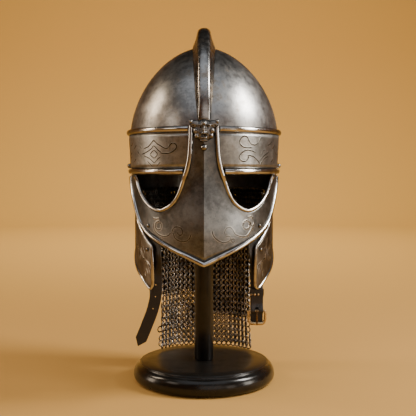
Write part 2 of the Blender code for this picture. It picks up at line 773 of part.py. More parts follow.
def make_aventail():
    top = SKIRT_HEIGHT + MAIL_TOP_OVERLAP
    hem = BASE_THICKNESS + GAP
    inside = -SKULL_WALL - 2 * GAP - MAIL_THICKNESS / 2
    width, depth = wall_radii(SKIRT_HEIGHT, inside)
    arc = math.radians(MAIL_ROWS[1][-1])
    half_width = width * math.sin(arc)
    edge = depth * math.cos(arc)

    def place(across, along):
        row = row_at(MAIL_ROWS, "drop", 1 - along)
        side = 2 * across - 1
        bend = math.radians(row["bend"])
        wider = 1 + row["right"] * ease(side, 0.0, 1.0)
        x = half_width * row["half_width"] * wider * math.sin(side * bend) / math.sin(bend)
        near = edge * row["edge"]
        far = depth * row["back"]
        y = mix(near, far, (math.cos(side * bend) - math.cos(bend)) / (1 - math.cos(bend)))
        loose = MAIL_FOLD * ease(1 - along, 0.12, 0.5)
        inwards = loose * (1 - math.cos(4 * math.pi * side))
        x -= inwards * math.sin(side * bend)
        y -= inwards * math.cos(side * bend)
        return Vector((x, y, mix(hem, top, along)))

    return sheet("aventail", 24, 10, place, MAIL_THICKNESS, MAIL)


# Leather straps, hangers and the buckle

def oval_depth(across, half_width, half_depth):
    """How far in front of the middle an oval ring lies at a place across."""
    return -half_depth * math.sqrt(max(1 - (across / half_width) ** 2, 0.0))


def tab_depth(across, height):
    """Depth of the leather behind the mask and the cheek plate, clear of their rims."""
    slant = TAB_SLANT_OUT if across > TAB_MIDDLE else TAB_SLANT_IN
    level = height - slant * (across - TAB_MIDDLE)
    behind_rim = MASK_RIM_RADIUS + 3 * GAP + LEATHER / 2
    behind_plate = MASK_WALL / 2 + GAP + LEATHER / 2
    inset = mix(behind_rim, behind_plate, ease(level, TAB_OVER_RIM, TAB_OVER_RIM + TAB_STEP))
    on_mask = oval_depth(across, *mask_radii(height, -inset))
    inset = CHEEK_RIM_RADIUS + 3 * GAP + LEATHER / 2
    on_cheek = oval_depth(across, CHEEK_HALF_WIDTH - inset, CHEEK_HALF_DEPTH - inset)
    return mix(on_cheek, on_mask, ease(level, TAB_OVER_PLATE, TAB_OVER_PLATE + TAB_STEP))


def make_strap(name, side, rows, depth):
    """A leather tab behind the mask and cheek plate that runs on down as a hanging strap."""
    top = rows[1][0]
    bottom = rows[-1][0]
    steps = 20

    def centre(share):
        row = row_at(rows, "drop", share)
        return Vector((CHEEK_HALF_WIDTH * row["centre"], BROW_HEIGHT - STRAP_DROP * share)), row

    def place(across, along):
        share = mix(bottom, top, along)
        spot, row = centre(share)
        ahead = centre(max(share - 0.01, top))[0] - centre(min(share + 0.01, bottom))[0]
        ahead.normalize()
        half = STRAP_WIDTH * row["half_width"] * (2 * across - 1)
        spot = spot + Vector((ahead.y, -ahead.x)) * half
        tab = tab_depth(spot.x, spot.y)
        y = mix(tab, max(tab, -depth), row["flat"])
        y = mix(y, -depth, row["free"])
        return Vector((side * spot.x, y, spot.y))

    return sheet(name, 3, steps, place, LEATHER, BLACK_LEATHER)


def make_hanger(name, side):
    """A hidden leather tab at the temple, from inside the skull to inside the cheek plate."""
    under_skull = -SKULL_WALL - 2 * GAP - LEATHER / 2
    behind_rim = -CHEEK_RIM_RADIUS - GAP - LEATHER / 2
    behind_plate = -CHEEK_WALL / 2 - GAP - LEATHER / 2
    rim = BROW_HEIGHT - CHEEK_DROP * 0.255
    clear = 2 * CHEEK_RIM_RADIUS
    top = BROW_HEIGHT + FRONT_EDGE_RISE + HANGER_HEAD
    heights = (rim - HANGER_TAIL, rim - HANGER_TAIL * 0.57, rim - clear, rim + clear,
               rim + HANGER_TAIL * 0.67, BROW_HEIGHT, top)
    centre = math.radians(93.5)
    half_turn = HANGER_WIDTH / 2 / SKULL_HALF_DEPTH

    def place(across, along):
        index = round(along * (len(heights) - 1))
        height = heights[index]
        turn = side * (centre + half_turn * (2 * across - 1))
        if index >= 5:
            return around(turn, *wall_radii(height, under_skull), height)
        if index == 4:
            return around(turn, CHEEK_HALF_WIDTH + behind_plate, CHEEK_HALF_DEPTH + behind_plate, height)
        inset = behind_plate if index <= 1 else behind_rim
        return around(turn, CHEEK_HALF_WIDTH + inset, CHEEK_HALF_DEPTH + inset, height)

    return sheet(name, 2, len(heights) - 1, place, LEATHER, BLACK_LEATHER)


# Depths of the buckle's layers, from the strap forwards
LOOP_BACK = STRAP_DEPTH + LEATHER / 2 + GAP + LOOP_LEATHER / 2
BAR_DEPTH = LOOP_BACK + LOOP_LEATHER / 2 + GAP + BUCKLE_BAR_RADIUS
LOOP_BEND = BUCKLE_BAR_RADIUS + GAP + LOOP_LEATHER / 2
LOOP_FRONT = LOOP_BACK + LOOP_LEATHER + GAP


def make_buckle_loop():
    """Leather folded round the bar, with a slot for the tongue."""
    tail = BUCKLE_HEIGHT + LOOP_LENGTH
    closed = BUCKLE_HEIGHT + LOOP_CLOSED_RISE
    path = [(LOOP_FRONT, tail), (LOOP_FRONT, mix(closed, tail, 0.5)), (LOOP_FRONT, closed)]
    path += [(mix(LOOP_FRONT, BAR_DEPTH + LOOP_BEND, 0.5), BUCKLE_HEIGHT + LOOP_CLOSED_RISE * 0.6)]
    bend_steps = 6
    for step in range(bend_steps + 1):
        angle = math.pi * step / bend_steps
        path.append((BAR_DEPTH + LOOP_BEND * math.cos(angle),
                     BUCKLE_HEIGHT - LOOP_BEND * math.sin(angle)))
    path += [(LOOP_BACK, closed), (LOOP_BACK, mix(closed, tail, 0.5)), (LOOP_BACK, tail)]

    def place(across, along):
        depth, height = path[round(along * (len(path) - 1))]
        return Vector((BUCKLE_CENTRE + LOOP_WIDTH * (across - 0.5), -depth, height))

    loop = sheet("buckle_loop", 2, len(path) - 1, place, LOOP_LEATHER, BLACK_LEATHER)
    slot_half = TONGUE_WIDTH / 2 + 3 * GAP
    centre = (BUCKLE_CENTRE, -BAR_DEPTH, BUCKLE_HEIGHT)
    size = (2 * slot_half, 4 * LOOP_BEND, 2 * LOOP_BEND + 3 * LOOP_LEATHER)
    combine(loop, box_cutter("tongue_slot", centre, size), "DIFFERENCE")
    return loop


def make_buckle_frame():
    """A bent frame: a straight bar, two arms and a thicker end bar with cut corners."""
    half = BUCKLE_WIDTH / 2
    # Corners of one side: place across and down, as shares, and share of the bar's radius
    thick = BUCKLE_END_RADIUS / BUCKLE_BAR_RADIUS
    corners = ((0.0, 0.0, 1.0), (0.35, 0.0, 1.0), (0.70, 0.0, 1.0), (0.90, 0.0, 1.05), (0.98, 0.06, 1.1),
               (1.0, 0.20, 1.1), (0.99, 0.45, 1.15), (0.98, 0.68, 1.2), (0.90, 0.84, 1.3),
               (0.76, 0.97, 1.42), (0.60, 1.0, thick), (0.30, 1.0, thick), (0.0, 1.0, thick))
    right = [(across, down, share) for across, down, share in corners]
    left = [(-across, down, share) for across, down, share in reversed(corners[1:-1])]
    loop = right + left
    points = [Vector((BUCKLE_CENTRE + across * half, -BAR_DEPTH, BUCKLE_HEIGHT - down * BUCKLE_LENGTH))
              for across, down, share in loop]
    shares = [share for across, down, share in loop]
    return tube("buckle_frame", points, BUCKLE_BAR_RADIUS, BRASS, closed=True, shares=shares)


def make_buckle_tongue():
    """A strip curled round the bar, whose point lies on the frame's end bar."""
    curl = BUCKLE_BAR_RADIUS + 1.3 * GAP + TONGUE_THICKNESS / 2
    rest = BUCKLE_END_RADIUS + GAP + TONGUE_THICKNESS / 2
    steps = 9
    path = []
    for step in range(steps + 1):
        angle = math.radians(mix(-60, 160, step / steps))
        path.append((BAR_DEPTH - curl * math.cos(angle), BUCKLE_HEIGHT + curl * math.sin(angle)))
    path += [(BAR_DEPTH + mix(curl, rest, 0.6), BUCKLE_HEIGHT - BUCKLE_LENGTH * 0.30),
             (BAR_DEPTH + rest, BUCKLE_HEIGHT - BUCKLE_LENGTH * 0.70),
             (BAR_DEPTH + rest, BUCKLE_HEIGHT - BUCKLE_LENGTH * 1.0),
             (BAR_DEPTH + rest, BUCKLE_HEIGHT - BUCKLE_LENGTH * 1.12)]

    def place(across, along):
        index = round(along * (len(path) - 1))
        depth, height = path[index]
        half = TONGUE_WIDTH / 2 * (0.6 if index == len(path) - 1 else 1.0)
        return Vector((BUCKLE_CENTRE + half * (2 * across - 1), -depth, height))

    return sheet("buckle_tongue", 1, len(path) - 1, place, TONGUE_THICKNESS, BRASS)


def make_buckle_rivets():
    face = LOOP_FRONT + LOOP_LEATHER / 2
    height = BUCKLE_HEIGHT + LOOP_LENGTH * 0.75
    middle = BUCKLE_CENTRE - BUCKLE_RIVET_SHIFT
    for number in (1, 2, 3):
        across = middle + BUCKLE_RIVET_PITCH * (number - 2)
        rivet("buckle_rivet_%d" % number, (across, -face, height), (0, -1, 0),
              BUCKLE_RIVET_RADIUS, BUCKLE_RIVET_RADIUS * 0.9, BRASS)


# Stand

def make_stand():
    foot = BASE_RADIUS - BASE_FOOT_SETBACK
    swell_centre = BASE_RADIUS - BASE_SWELL
    widest = BASE_THICKNESS * 0.34
    profile = [(0.0, BASE_THICKNESS), (BASE_TOP_RADIUS - BASE_BEAD, BASE_THICKNESS),
               (BASE_TOP_RADIUS - BASE_BEAD * 0.6, BASE_THICKNESS - BASE_BEAD * 0.7),
               (BASE_TOP_RADIUS + BASE_BEAD * 0.2, BASE_THICKNESS - BASE_BEAD * 0.5),
               (BASE_TOP_RADIUS + BASE_BEAD * 0.5, BASE_THICKNESS - BASE_BEAD * 1.6)]
    for angle in (68, 50, 32, 15, 0, -25, -50):
        turn = math.radians(angle)
        tall = (BASE_THICKNESS - 2 * BASE_BEAD - widest) if angle > 0 else widest
        profile.append((swell_centre + BASE_SWELL * math.cos(turn),
                        widest + tall * math.sin(turn)))
    profile += [(foot, 0.0), (0.0, 0.0)]
    turned("stand_base", profile, BLACK_WOOD, steps=32)

    cap_top = CROWN_HEIGHT - SKULL_WALL - GAP
    cap_profile = [(0.0, cap_top)]
    inside = -SKULL_WALL - 3 * GAP
    levels = 5
    for level in range(1, levels + 1):
        radius = CAP_RADIUS * level / levels
        share = radius / (SKULL_HALF_WIDTH + inside)
        climb = (1 - share**BOWL_POWER) ** (1 / BOWL_POWER)
        cap_profile.append((radius, SPRING_HEIGHT + (BOWL_RISE + inside) * climb))
    under = cap_profile[-1][1] - CAP_EDGE
    cap_profile += [(CAP_RADIUS * 0.98, under + CAP_EDGE * 0.2), (CAP_RADIUS * 0.8, under), (0.0, under)]
    turned("stand_cap", cap_profile, BLACK_WOOD, steps=24)

    low = BASE_THICKNESS + GAP
    high = under - GAP
    turned("stand_pole", [(0.0, high), (POLE_RADIUS, high), (POLE_RADIUS, low), (0.0, low)],
           BLACK_WOOD, steps=24)


def main():
    make_skull()
    make_crest()
    make_brow_band()
    make_brow_rim("brow_rim_upper", UPPER_RIM_HEIGHT, 8.7)
    make_brow_rim("brow_rim_lower", BROW_HEIGHT, 12.6)
    make_mask()
    make_mask_rim()
    make_boss()
    make_boss_rivet()
    for hand, side in (("left", -1), ("right", 1)):
        make_eye_rim("eye_rim_" + hand, side)
        make_cheek_plate("cheek_plate_" + hand, side)
        make_cheek_rim("cheek_rim_" + hand, side)
        make_plate_rivets(side, hand)
        make_hanger("hanger_" + hand, side)
    make_aventail()
    make_strap("strap_left", -1, STRAP_LEFT_ROWS, STRAP_DEPTH + STRAP_LEFT_FORWARD)
    make_strap("strap_right", 1, STRAP_RIGHT_ROWS, STRAP_DEPTH)
    make_buckle_loop()
    make_buckle_frame()
    make_buckle_tongue()
    make_buckle_rivets()
    make_stand()


main()
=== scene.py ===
import math

import bmesh
import bpy
from mathutils import Matrix, Vector, noise


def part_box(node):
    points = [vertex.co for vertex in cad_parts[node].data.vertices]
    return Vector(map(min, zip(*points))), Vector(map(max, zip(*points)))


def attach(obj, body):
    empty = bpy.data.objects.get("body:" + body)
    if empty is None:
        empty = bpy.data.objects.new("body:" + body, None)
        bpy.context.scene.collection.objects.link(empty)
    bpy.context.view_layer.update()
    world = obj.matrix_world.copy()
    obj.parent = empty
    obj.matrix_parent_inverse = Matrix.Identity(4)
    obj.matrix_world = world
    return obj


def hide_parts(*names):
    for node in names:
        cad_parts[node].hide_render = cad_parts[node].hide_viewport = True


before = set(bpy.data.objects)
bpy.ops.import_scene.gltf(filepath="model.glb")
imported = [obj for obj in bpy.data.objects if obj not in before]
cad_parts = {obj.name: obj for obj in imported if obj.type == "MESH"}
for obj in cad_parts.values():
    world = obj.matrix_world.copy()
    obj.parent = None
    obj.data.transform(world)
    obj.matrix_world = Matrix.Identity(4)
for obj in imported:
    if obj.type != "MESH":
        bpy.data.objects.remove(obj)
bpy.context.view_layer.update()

gap = 0.3
hands = ((-1, "left"), (1, "right"))


# Shapes are made in millimetres and scaled to metres when they become objects.
# Neighbouring pieces lie a gap apart.

def mix(start, end, share):
    return start + (end - start) * share


def ease(value, start, end):
    share = min(max((value - start) / (end - start), 0.0), 1.0)
    return share * share * (3 - 2 * share)


def hermite(t, start, startSlope, end, endSlope):
    return (start * (2 * t**3 - 3 * t**2 + 1) + startSlope * (t**3 - 2 * t**2 + t)
            + end * (3 * t**2 - 2 * t**3) + endSlope * (t**3 - t**2))


def reachOf(points):
    reach = [0.0]
    for start, end in zip(points, points[1:]):
        reach.append(reach[-1] + (end - start).length)
    return reach


def smoothRun(points, count):
    knots = [Vector(point) for point in points]
    reach, last = reachOf(knots), len(knots) - 1
    slopes = []
    for index in range(last + 1):
        before, after = max(index - 1, 0), min(index + 1, last)
        slopes.append((knots[after] - knots[before]) / (reach[after] - reach[before]))
    run, low = [], 0
    for step in range(count + 1):
        at = reach[-1] * step / count
        while low < last - 1 and at > reach[low + 1]:
            low += 1
        span = reach[low + 1] - reach[low]
        run.append(hermite((at - reach[low]) / span, knots[low], slopes[low] * span,
                           knots[low + 1], slopes[low + 1] * span))
    return run


def leftAt(run, index):
    ahead = (run[min(index + 1, len(run) - 1)] - run[max(index - 1, 0)]).normalized()
    return Vector((-ahead.y, ahead.x))


def beside(run, distance):
    return [point + leftAt(run, index) * distance for index, point in enumerate(run)]


def heightAt(run, across):
    for start, end in zip(run, run[1:]):
        if start.x <= across <= end.x:
            return mix(start.y, end.y, (across - start.x) / max(end.x - start.x, 1e-9))
    return run[0].y if across < run[0].x else run[-1].y


def slopeAt(rows, column, index):
    steps = [(rows[low + 1][column] - rows[low][column]) / (rows[low + 1][0] - rows[low][0])
             for low in (index - 1, index) if 0 <= low < len(rows) - 1]
    product = steps[0] * steps[-1]
    return 2 * product / (steps[0] + steps[-1]) if product > 0 else 0.0


def readRow(rows, value):
    low = 0
    while low < len(rows) - 2 and value > rows[low + 1][0]:
        low += 1
    span = rows[low + 1][0] - rows[low][0]
    return [hermite((value - rows[low][0]) / span, rows[low][column], slopeAt(rows, column, low) * span,
                    rows[low + 1][column], slopeAt(rows, column, low + 1) * span)
            for column in range(1, len(rows[0]))]


def around(turn, halfWidth, halfDepth, height):
    return Vector((halfWidth * math.sin(turn), -halfDepth * math.cos(turn), height))


def onSide(side, point):
    return Vector((side * point.x, point.y, point.z))


def turnOut(bm):
    bmesh.ops.recalc_face_normals(bm, faces=bm.faces)
    return bm


def closeHoles(bm, edges=None):
    bmesh.ops.holes_fill(bm, edges=edges or [edge for edge in bm.edges if edge.is_boundary], sides=0)
    return turnOut(bm)


def everything(bm):
    return bm.verts[:] + bm.edges[:] + bm.faces[:]


def scaleAll(bm, size):
    bmesh.ops.scale(bm, vec=(size, size, size), verts=bm.verts)


def cutFlat(bm, middle, way, **side):
    cut = bmesh.ops.bisect_plane(bm, geom=everything(bm), dist=0.001, plane_co=middle, plane_no=way, **side)
    closeHoles(bm, [item for item in cut["geom_cut"] if isinstance(item, bmesh.types.BMEdge)])


def gridMesh(columns, rows, place):
    bm = bmesh.new()
    bm.loops.layers.uv.new("UVMap")
    bmesh.ops.create_grid(bm, x_segments=columns, y_segments=rows, size=0.5, calc_uvs=True)
    for vert in bm.verts:
        vert.co = place(vert.co.x + 0.5, vert.co.y + 0.5)
    bmesh.ops.remove_doubles(bm, verts=bm.verts, dist=0.001)
    return turnOut(bm)


def smooth(piece, sharp):
    piece.data.shade_smooth()
    piece.data.set_sharp_from_angle(angle=math.radians(sharp))


def newObject(name, bm):
    scaleAll(bm, 0.001)
    mesh = bpy.data.meshes.new(name)
    bm.to_mesh(mesh)
    bm.free()
    made = bpy.data.objects.new(name, mesh)
    bpy.context.collection.objects.link(made)
    return made


def addPiece(name, bm, paint, body="helmet", nodes=(), sharp=40):
    piece = newObject(name, bm)
    smooth(piece, sharp)
    piece.data.materials.append(paint.material)
    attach(piece, body)
    if nodes:
        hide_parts(*nodes)
    return piece


def bake(piece):
    graph = bpy.context.evaluated_depsgraph_get()
    mesh = bpy.data.meshes.new_from_object(piece.evaluated_get(graph))
    piece.modifiers.clear()
    piece.data = mesh
    return piece


def thicken(piece, wall, edge=0.0):
    shell = piece.modifiers.new("wall", "SOLIDIFY")
    shell.thickness = wall * 0.001
    shell.offset = 0.0
    shell.use_even_offset = shell.use_quality_normals = True
    if edge:
        rounding = piece.modifiers.new("edge", "BEVEL")
        rounding.width = edge * 0.001
        rounding.segments = 2
        rounding.limit_method = "ANGLE"
        rounding.angle_limit = math.radians(50)
    return bake(piece)


def addPlate(name, node, bm, paint, wall, edge=0.0, body="helmet", sharp=40):
    return thicken(addPiece(name, bm, paint, body, (node,), sharp), wall, edge)


def cutAway(piece, bm):
    cutter = newObject("cutter", bm)
    cut = piece.modifiers.new("cut", "BOOLEAN")
    cut.operation = "DIFFERENCE"
    cut.solver = "EXACT"
    cut.object = cutter
    bake(piece)
    bpy.data.objects.remove(cutter)
    smooth(piece, 35)


def mirrored(bm):
    bmesh.ops.mirror(bm, geom=everything(bm), axis="X", merge_dist=0.001, mirror_u=False)
    return turnOut(bm)


def sweep(path, sides, radiusAt, closed=False):
    # A round bar along the path: a grid rolled up, radiusAt(index) gives its radius
    count = len(path)
    columns = count if closed else count - 1
    frames = []
    side = None
    for index in range(count):
        ahead = path[(index + 1) % count] if closed else path[min(index + 1, count - 1)]
        before = path[(index - 1) % count] if closed else path[max(index - 1, 0)]
        along = (ahead - before).normalized()
        if side is None:
            side = along.cross(Vector((0, 0, 1) if abs(along.z) < 0.9 else (0, 1, 0)))
        side = (side - along * side.dot(along)).normalized()
        frames.append((side.copy(), along.cross(side)))

    def place(across, up):
        index = round(across * columns) % count
        angle = math.tau * (round(up * sides) % sides) / sides
        right, over = frames[index]
        return path[index] + (right * math.cos(angle) + over * math.sin(angle)) * radiusAt(index)

    bm = gridMesh(columns, sides, place)
    return bm if closed else closeHoles(bm)


def turnedMesh(profile, steps):
    bm = bmesh.new()
    points = [bm.verts.new((radius, 0, height)) for radius, height in profile]
    edges = [bm.edges.new(pair) for pair in zip(points, points[1:])]
    bmesh.ops.spin(bm, geom=points + edges, axis=(0, 0, 1), cent=(0, 0, 0), angle=math.tau, steps=steps,
                   use_merge=True)
    bmesh.ops.remove_doubles(bm, verts=bm.verts, dist=0.001)
    return turnOut(bm)


# Materials

class Wire:
    def __init__(self, tree, socket):
        self.tree = tree
        self.socket = socket

    def calc(self, operation, *others):
        node = self.tree.nodes.new("ShaderNodeMath")
        node.operation = operation
        for plug, value in zip(node.inputs, (self, *others)):
            connect(self.tree, plug, value)
        return Wire(self.tree, node.outputs[0])

    def __add__(self, other):
        return self.calc("ADD", other)

    def __sub__(self, other):
        return self.calc("SUBTRACT", other)

    def __mul__(self, other):
        return self.calc("MULTIPLY", other)


def connect(tree, plug, value):
    if isinstance(value, Wire):
        tree.links.new(value.socket, plug)
    elif isinstance(value, (tuple, list)) and plug.type == "RGBA":
        plug.default_value = (*value, 1.0)
    else:
        plug.default_value = value


class Paint:
    def __init__(self, name, slot):
        self.slot = slot
        self.material = bpy.data.materials.new(name)
        self.material.use_nodes = True
        self.tree = self.material.node_tree
        self.shader = self.tree.nodes["Principled BSDF"]

    def node(self, kind, output, settings=None, **inputs):
        made = self.tree.nodes.new("ShaderNode" + kind)
        for key, value in (settings or {}).items():
            setattr(made, key, value)
        for key, value in inputs.items():
            connect(self.tree, made.inputs[key.replace("_", " ")], value)
        return Wire(self.tree, made.outputs[output])

    def place(self, *stretch):
        spot = self.node("TexCoord", "Object")
        if not stretch:
            return spot
        return self.node("Mapping", "Vector", Vector=spot, Scale=stretch)

    def noise(self, scale, detail, roughness, at=None):
        return self.node("TexNoise", "Fac", Vector=at or self.place(), Scale=scale, Detail=detail,
                         Roughness=roughness)

    def ramp(self, value, low, high, start=0.0, end=1.0):
        made = self.tree.nodes.new("ShaderNodeMapRange")
        made.interpolation_type = "SMOOTHSTEP"
        for plug, number in zip(made.inputs, (value, low, high, start, end)):
            connect(self.tree, plug, number)
        return Wire(self.tree, made.outputs[0])

    def blend(self, share, first, second):
        made = self.tree.nodes.new("ShaderNodeMix")
        made.data_type = "RGBA"
        for plug, value in ((made.inputs[0], share), (made.inputs[6], first), (made.inputs[7], second)):
            connect(self.tree, plug, value)
        return Wire(self.tree, made.outputs[2])

    def bump(self, height, distance, strength=1.0, under=None):
        inputs = {"Height": height, "Distance": distance, "Strength": strength}
        if under:
            inputs["Normal"] = under
        return self.node("Bump", "Normal", **inputs)

    def finish(self, colour, gloss, **inputs):
        for key, value in {"Base Color": colour, "Roughness": gloss, **inputs}.items():
            connect(self.tree, self.shader.inputs[key.replace("_", " ")], value)
        return self

    def metal(self, colour, gloss, **inputs):
        return self.finish(colour, gloss, Metallic=1.0, **inputs)


# Old metal mirrors less than a clean surface when it is seen along its edge
edgeTint = (0.34, 0.32, 0.29)


def steelPaint(name, slot, dark, light, patina, rough):
    paint = Paint(name, slot)
    broad = paint.noise(18.0, 4.0, 0.5)
    fine = paint.noise(130.0, 6.0, 0.7)
    specks = paint.noise(650.0, 3.0, 0.6)
    colour = paint.blend(paint.ramp(broad * 0.5 + fine * 0.5, 0.38, 0.62), dark, light)
    stain = paint.ramp(paint.noise(34.0, 6.0, 0.65) + (fine - 0.5) * 0.6, 0.50, 0.74)
    colour = paint.blend(stain * 0.8, colour, patina)
    colour = paint.blend(paint.ramp(specks, 0.58, 0.72) * 0.55, colour, tuple(part * 0.4 for part in dark))
    gloss = (fine - 0.5) * 0.22 + (stain * 0.10) + rough
    normal = paint.bump(fine * 0.6 + specks * 0.4, 0.00007, 0.8, paint.bump(broad, 0.00025))
    return paint.metal(colour, gloss, Specular_Tint=edgeTint, Normal=normal)


def polishedPaint(name, bright, dull):
    paint = Paint(name, "polished_rim")
    tarnish = paint.ramp(paint.noise(70.0, 5.0, 0.6), 0.45, 0.75)
    nicks = paint.noise(300.0, 4.0, 0.7)
    gloss = (tarnish * 0.12) + (paint.ramp(nicks, 0.45, 0.7) * 0.08) + 0.15
    return paint.metal(paint.blend(tarnish, bright, dull), gloss, Specular_Tint=edgeTint,
                       Normal=paint.bump(nicks, 0.00006, 0.5))


def castPaint():
    paint = Paint("castBoss", "cast_boss")
    depth = paint.node("Attribute", "Fac", {"attribute_name": "creviceShade"})
    # The vertex darkness read here is painted shade: darker where the boss sinks towards the plate and in its
    # pits, broken up by random grain.
    grain = paint.noise(420.0, 4.0, 0.6)
    worn = paint.ramp(depth + (grain - 0.5) * 0.25, 0.15, 0.75)
    return paint.metal(paint.blend(worn, (0.22, 0.21, 0.20), (0.008, 0.007, 0.006)), (depth * 0.3) + 0.30,
                       Normal=paint.bump(grain, 0.00008, 0.8))


def mailPaint(name, bright, dull):
    paint = Paint(name, "mail_steel")
    patches = paint.noise(45.0, 4.0, 0.6)
    return paint.metal(paint.blend(paint.ramp(patches, 0.38, 0.66), bright, dull),
                       paint.ramp(patches, 0.35, 0.7, 0.17, 0.32), Specular_Tint=edgeTint)


def leatherPaint():
    paint = Paint("blackLeather", "black_leather")
    grain = paint.node("TexVoronoi", "Distance", {"feature": "DISTANCE_TO_EDGE"}, Vector=paint.place(),
                       Scale=900.0)
    creases = paint.ramp(grain, 0.0, 0.12)
    worn = paint.ramp(paint.noise(70.0, 5.0, 0.65), 0.50, 0.74)
    colour = paint.blend(worn * 0.6, (0.008, 0.006, 0.005), (0.036, 0.024, 0.017))
    soft = paint.bump(paint.noise(120.0, 4.0, 0.6), 0.0003, 0.6)
    return paint.finish(colour, (worn * 0.18) + 0.44, Normal=paint.bump(creases, 0.00010, 0.5, soft))


def brassPaint(name, bright, dull):
    paint = Paint(name, "antique_brass")
    tarnish = paint.ramp(paint.noise(150.0, 5.0, 0.65), 0.40, 0.68)
    return paint.metal(paint.blend(tarnish, bright, dull), (tarnish * 0.2) + 0.22,
                       Normal=paint.bump(paint.noise(500.0, 4.0, 0.6), 0.00006, 0.6))


def lacquerPaint(name, topRough):
    # Wood turned and lacquered; a flat top at 27 mm is rubbed duller than the rim below it
    paint = Paint(name, "black_wood")
    grain = paint.noise(60.0, 5.0, 0.6, paint.place(1.0, 7.0, 1.0))
    colour = paint.blend(paint.ramp(grain, 0.4, 0.7), (0.004, 0.0035, 0.003), (0.009, 0.0075, 0.006))
    dust = paint.ramp(paint.noise(35.0, 4.0, 0.6), 0.45, 0.75)
    height = paint.node("SeparateXYZ", "Z", Vector=paint.place())
    gloss = (dust * 0.10) + paint.ramp(height, 0.0258, 0.0268, 0.22, topRough)
    return paint.finish(colour, gloss, IOR=1.28, Coat_Weight=0.34, Coat_Roughness=0.18,
                        Normal=paint.bump(grain, 0.00012, 0.35))


def engravingPaint(name, lip, groove):
    # A dark line as wide as the groove's share, between two worn lips
    paint = Paint(name, "engraved_plate")
    across = paint.node("SeparateXYZ", "Y", Vector=paint.node("UVMap", "UV", {"uv_map": "UVMap"}))
    centre = (across - 0.5).calc("ABSOLUTE") * 2
    worn = centre + (paint.noise(120.0, 4.0, 0.6) - 0.5) * 0.3
    return paint.metal(paint.blend(paint.ramp(worn, groove, groove + 0.22), (0.005, 0.004, 0.003), lip),
                       paint.ramp(centre, 0.4, 0.7, 0.7, 0.34))


steel = steelPaint("pewterSteel", "pewter_steel",
                   (0.19, 0.185, 0.18), (0.40, 0.395, 0.385), (0.17, 0.135, 0.10), 0.33)
crestSteel = steelPaint("crestSteel", "pewter_steel",
                        (0.20, 0.195, 0.19), (0.38, 0.375, 0.37), (0.16, 0.125, 0.09), 0.24)
plateSteel = steelPaint("maskSteel", "engraved_plate",
                        (0.105, 0.108, 0.11), (0.22, 0.225, 0.225), (0.10, 0.09, 0.08), 0.36)
bandSteel = steelPaint("bandSteel", "engraved_plate",
                       (0.17, 0.168, 0.16), (0.35, 0.345, 0.33), (0.16, 0.14, 0.12), 0.38)
cheekSteel = steelPaint("cheekPlateSteel", "engraved_plate",
                        (0.12, 0.105, 0.085), (0.24, 0.215, 0.18), (0.11, 0.08, 0.055), 0.36)
polished = polishedPaint("polishedRim", (0.47, 0.465, 0.46), (0.22, 0.18, 0.14))
darkSteel = polishedPaint("darkSteel", (0.20, 0.19, 0.175), (0.10, 0.085, 0.07))
cast = castPaint()
ringSteel = mailPaint("mailSteel", (0.40, 0.38, 0.35), (0.14, 0.125, 0.11))
# The fold, top and pleat layers of mail use the same steel as the front rings, painted far darker: painted
# shade.
shadedMailSteel = mailPaint("shadedInnerMail", (0.09, 0.085, 0.08), (0.03, 0.028, 0.025))
leather = leatherPaint()
brass = brassPaint("antiqueBrass", (0.62, 0.46, 0.24), (0.20, 0.11, 0.045))
darkBrass = brassPaint("darkBrass", (0.16, 0.10, 0.05), (0.05, 0.03, 0.018))
lacquer = lacquerPaint("blackLacquer", 0.43)
poleLacquer = lacquerPaint("poleLacquer", 0.30)
bandLine = engravingPaint("bandLine", (0.46, 0.44, 0.40), 0.56)
plateLine = engravingPaint("plateLine", (0.72, 0.69, 0.63), 0.54)


# Skull, band and brow rims

wall = dict(width=103.6, depth=119.0, spring=343.0, rise=126.6, power=1.8, lean=0.05, thick=1.6, skirt=266.0)
brow = dict(low=296.4, high=349.7, rimHalf=4.0, rimDepth=5.0, rimGap=1.2, plate=1.5, bowlEdge=3.6)
mask = dict(width=101.9, lean=0.03, wall=1.5, drop=117.6, rim=3.4, nasalRise=56.6, eyeRim=2.6, nasalRim=3.1,
            nasalHalf=12.6, liftRun=9.0, ridge=14.0, ridgeHalf=62.0, ridgeDrop=85.0)


def wallRadii(height, outside=0.0):
    if height < wall["spring"]:
        lean = wall["lean"] * (wall["spring"] - height)
        return wall["width"] - lean + outside, wall["depth"] - lean + outside
    climb = min((height - wall["spring"]) / (wall["rise"] + outside), 1.0)
    share = (1 - climb ** wall["power"]) ** (1 / wall["power"])
    return (wall["width"] + outside) * share, (wall["depth"] + outside) * share


def bowlPoint(turn, climb, outside):
    angle = climb * math.pi / 2
    share = max(math.cos(angle), 0.0) ** (2 / wall["power"]) if climb < 1 else 0.0
    height = wall["spring"] + (wall["rise"] + outside) * math.sin(angle) ** (2 / wall["power"])
    return around(turn, (wall["width"] + outside) * share, (wall["depth"] + outside) * share, height)


def makeSkull():
    straight, dome = 12, 48
    middle = -wall["thick"] / 2

    def place(across, along):
        turn = math.tau * across
        row = round(along * (straight + dome))
        if row <= straight:
            low = mix(brow["low"] + brow["bowlEdge"], wall["skirt"], ease(-math.cos(turn), 0.0, 0.15))
            height = mix(low, wall["spring"], row / straight)
            return around(turn, *wallRadii(height, middle), height)
        return bowlPoint(turn, (row - straight) / dome, middle)

    addPlate("skullBowl", "skull", gridMesh(180, straight + dome, place), steel, wall["thick"])


def makeBand():
    low = brow["low"] + brow["rimHalf"] + gap
    high = brow["high"] - brow["rimHalf"] - gap

    def place(across, along):
        height = mix(low, high, along)
        return around(math.tau * across, *wallRadii(height, gap + brow["plate"] / 2), height)

    addPlate("browBand", "brow_band", gridMesh(240, 8, place), bandSteel, brow["plate"])


def addRim(name, node, bm):
    addPiece(name, bm, polished, nodes=(node,), sharp=60)


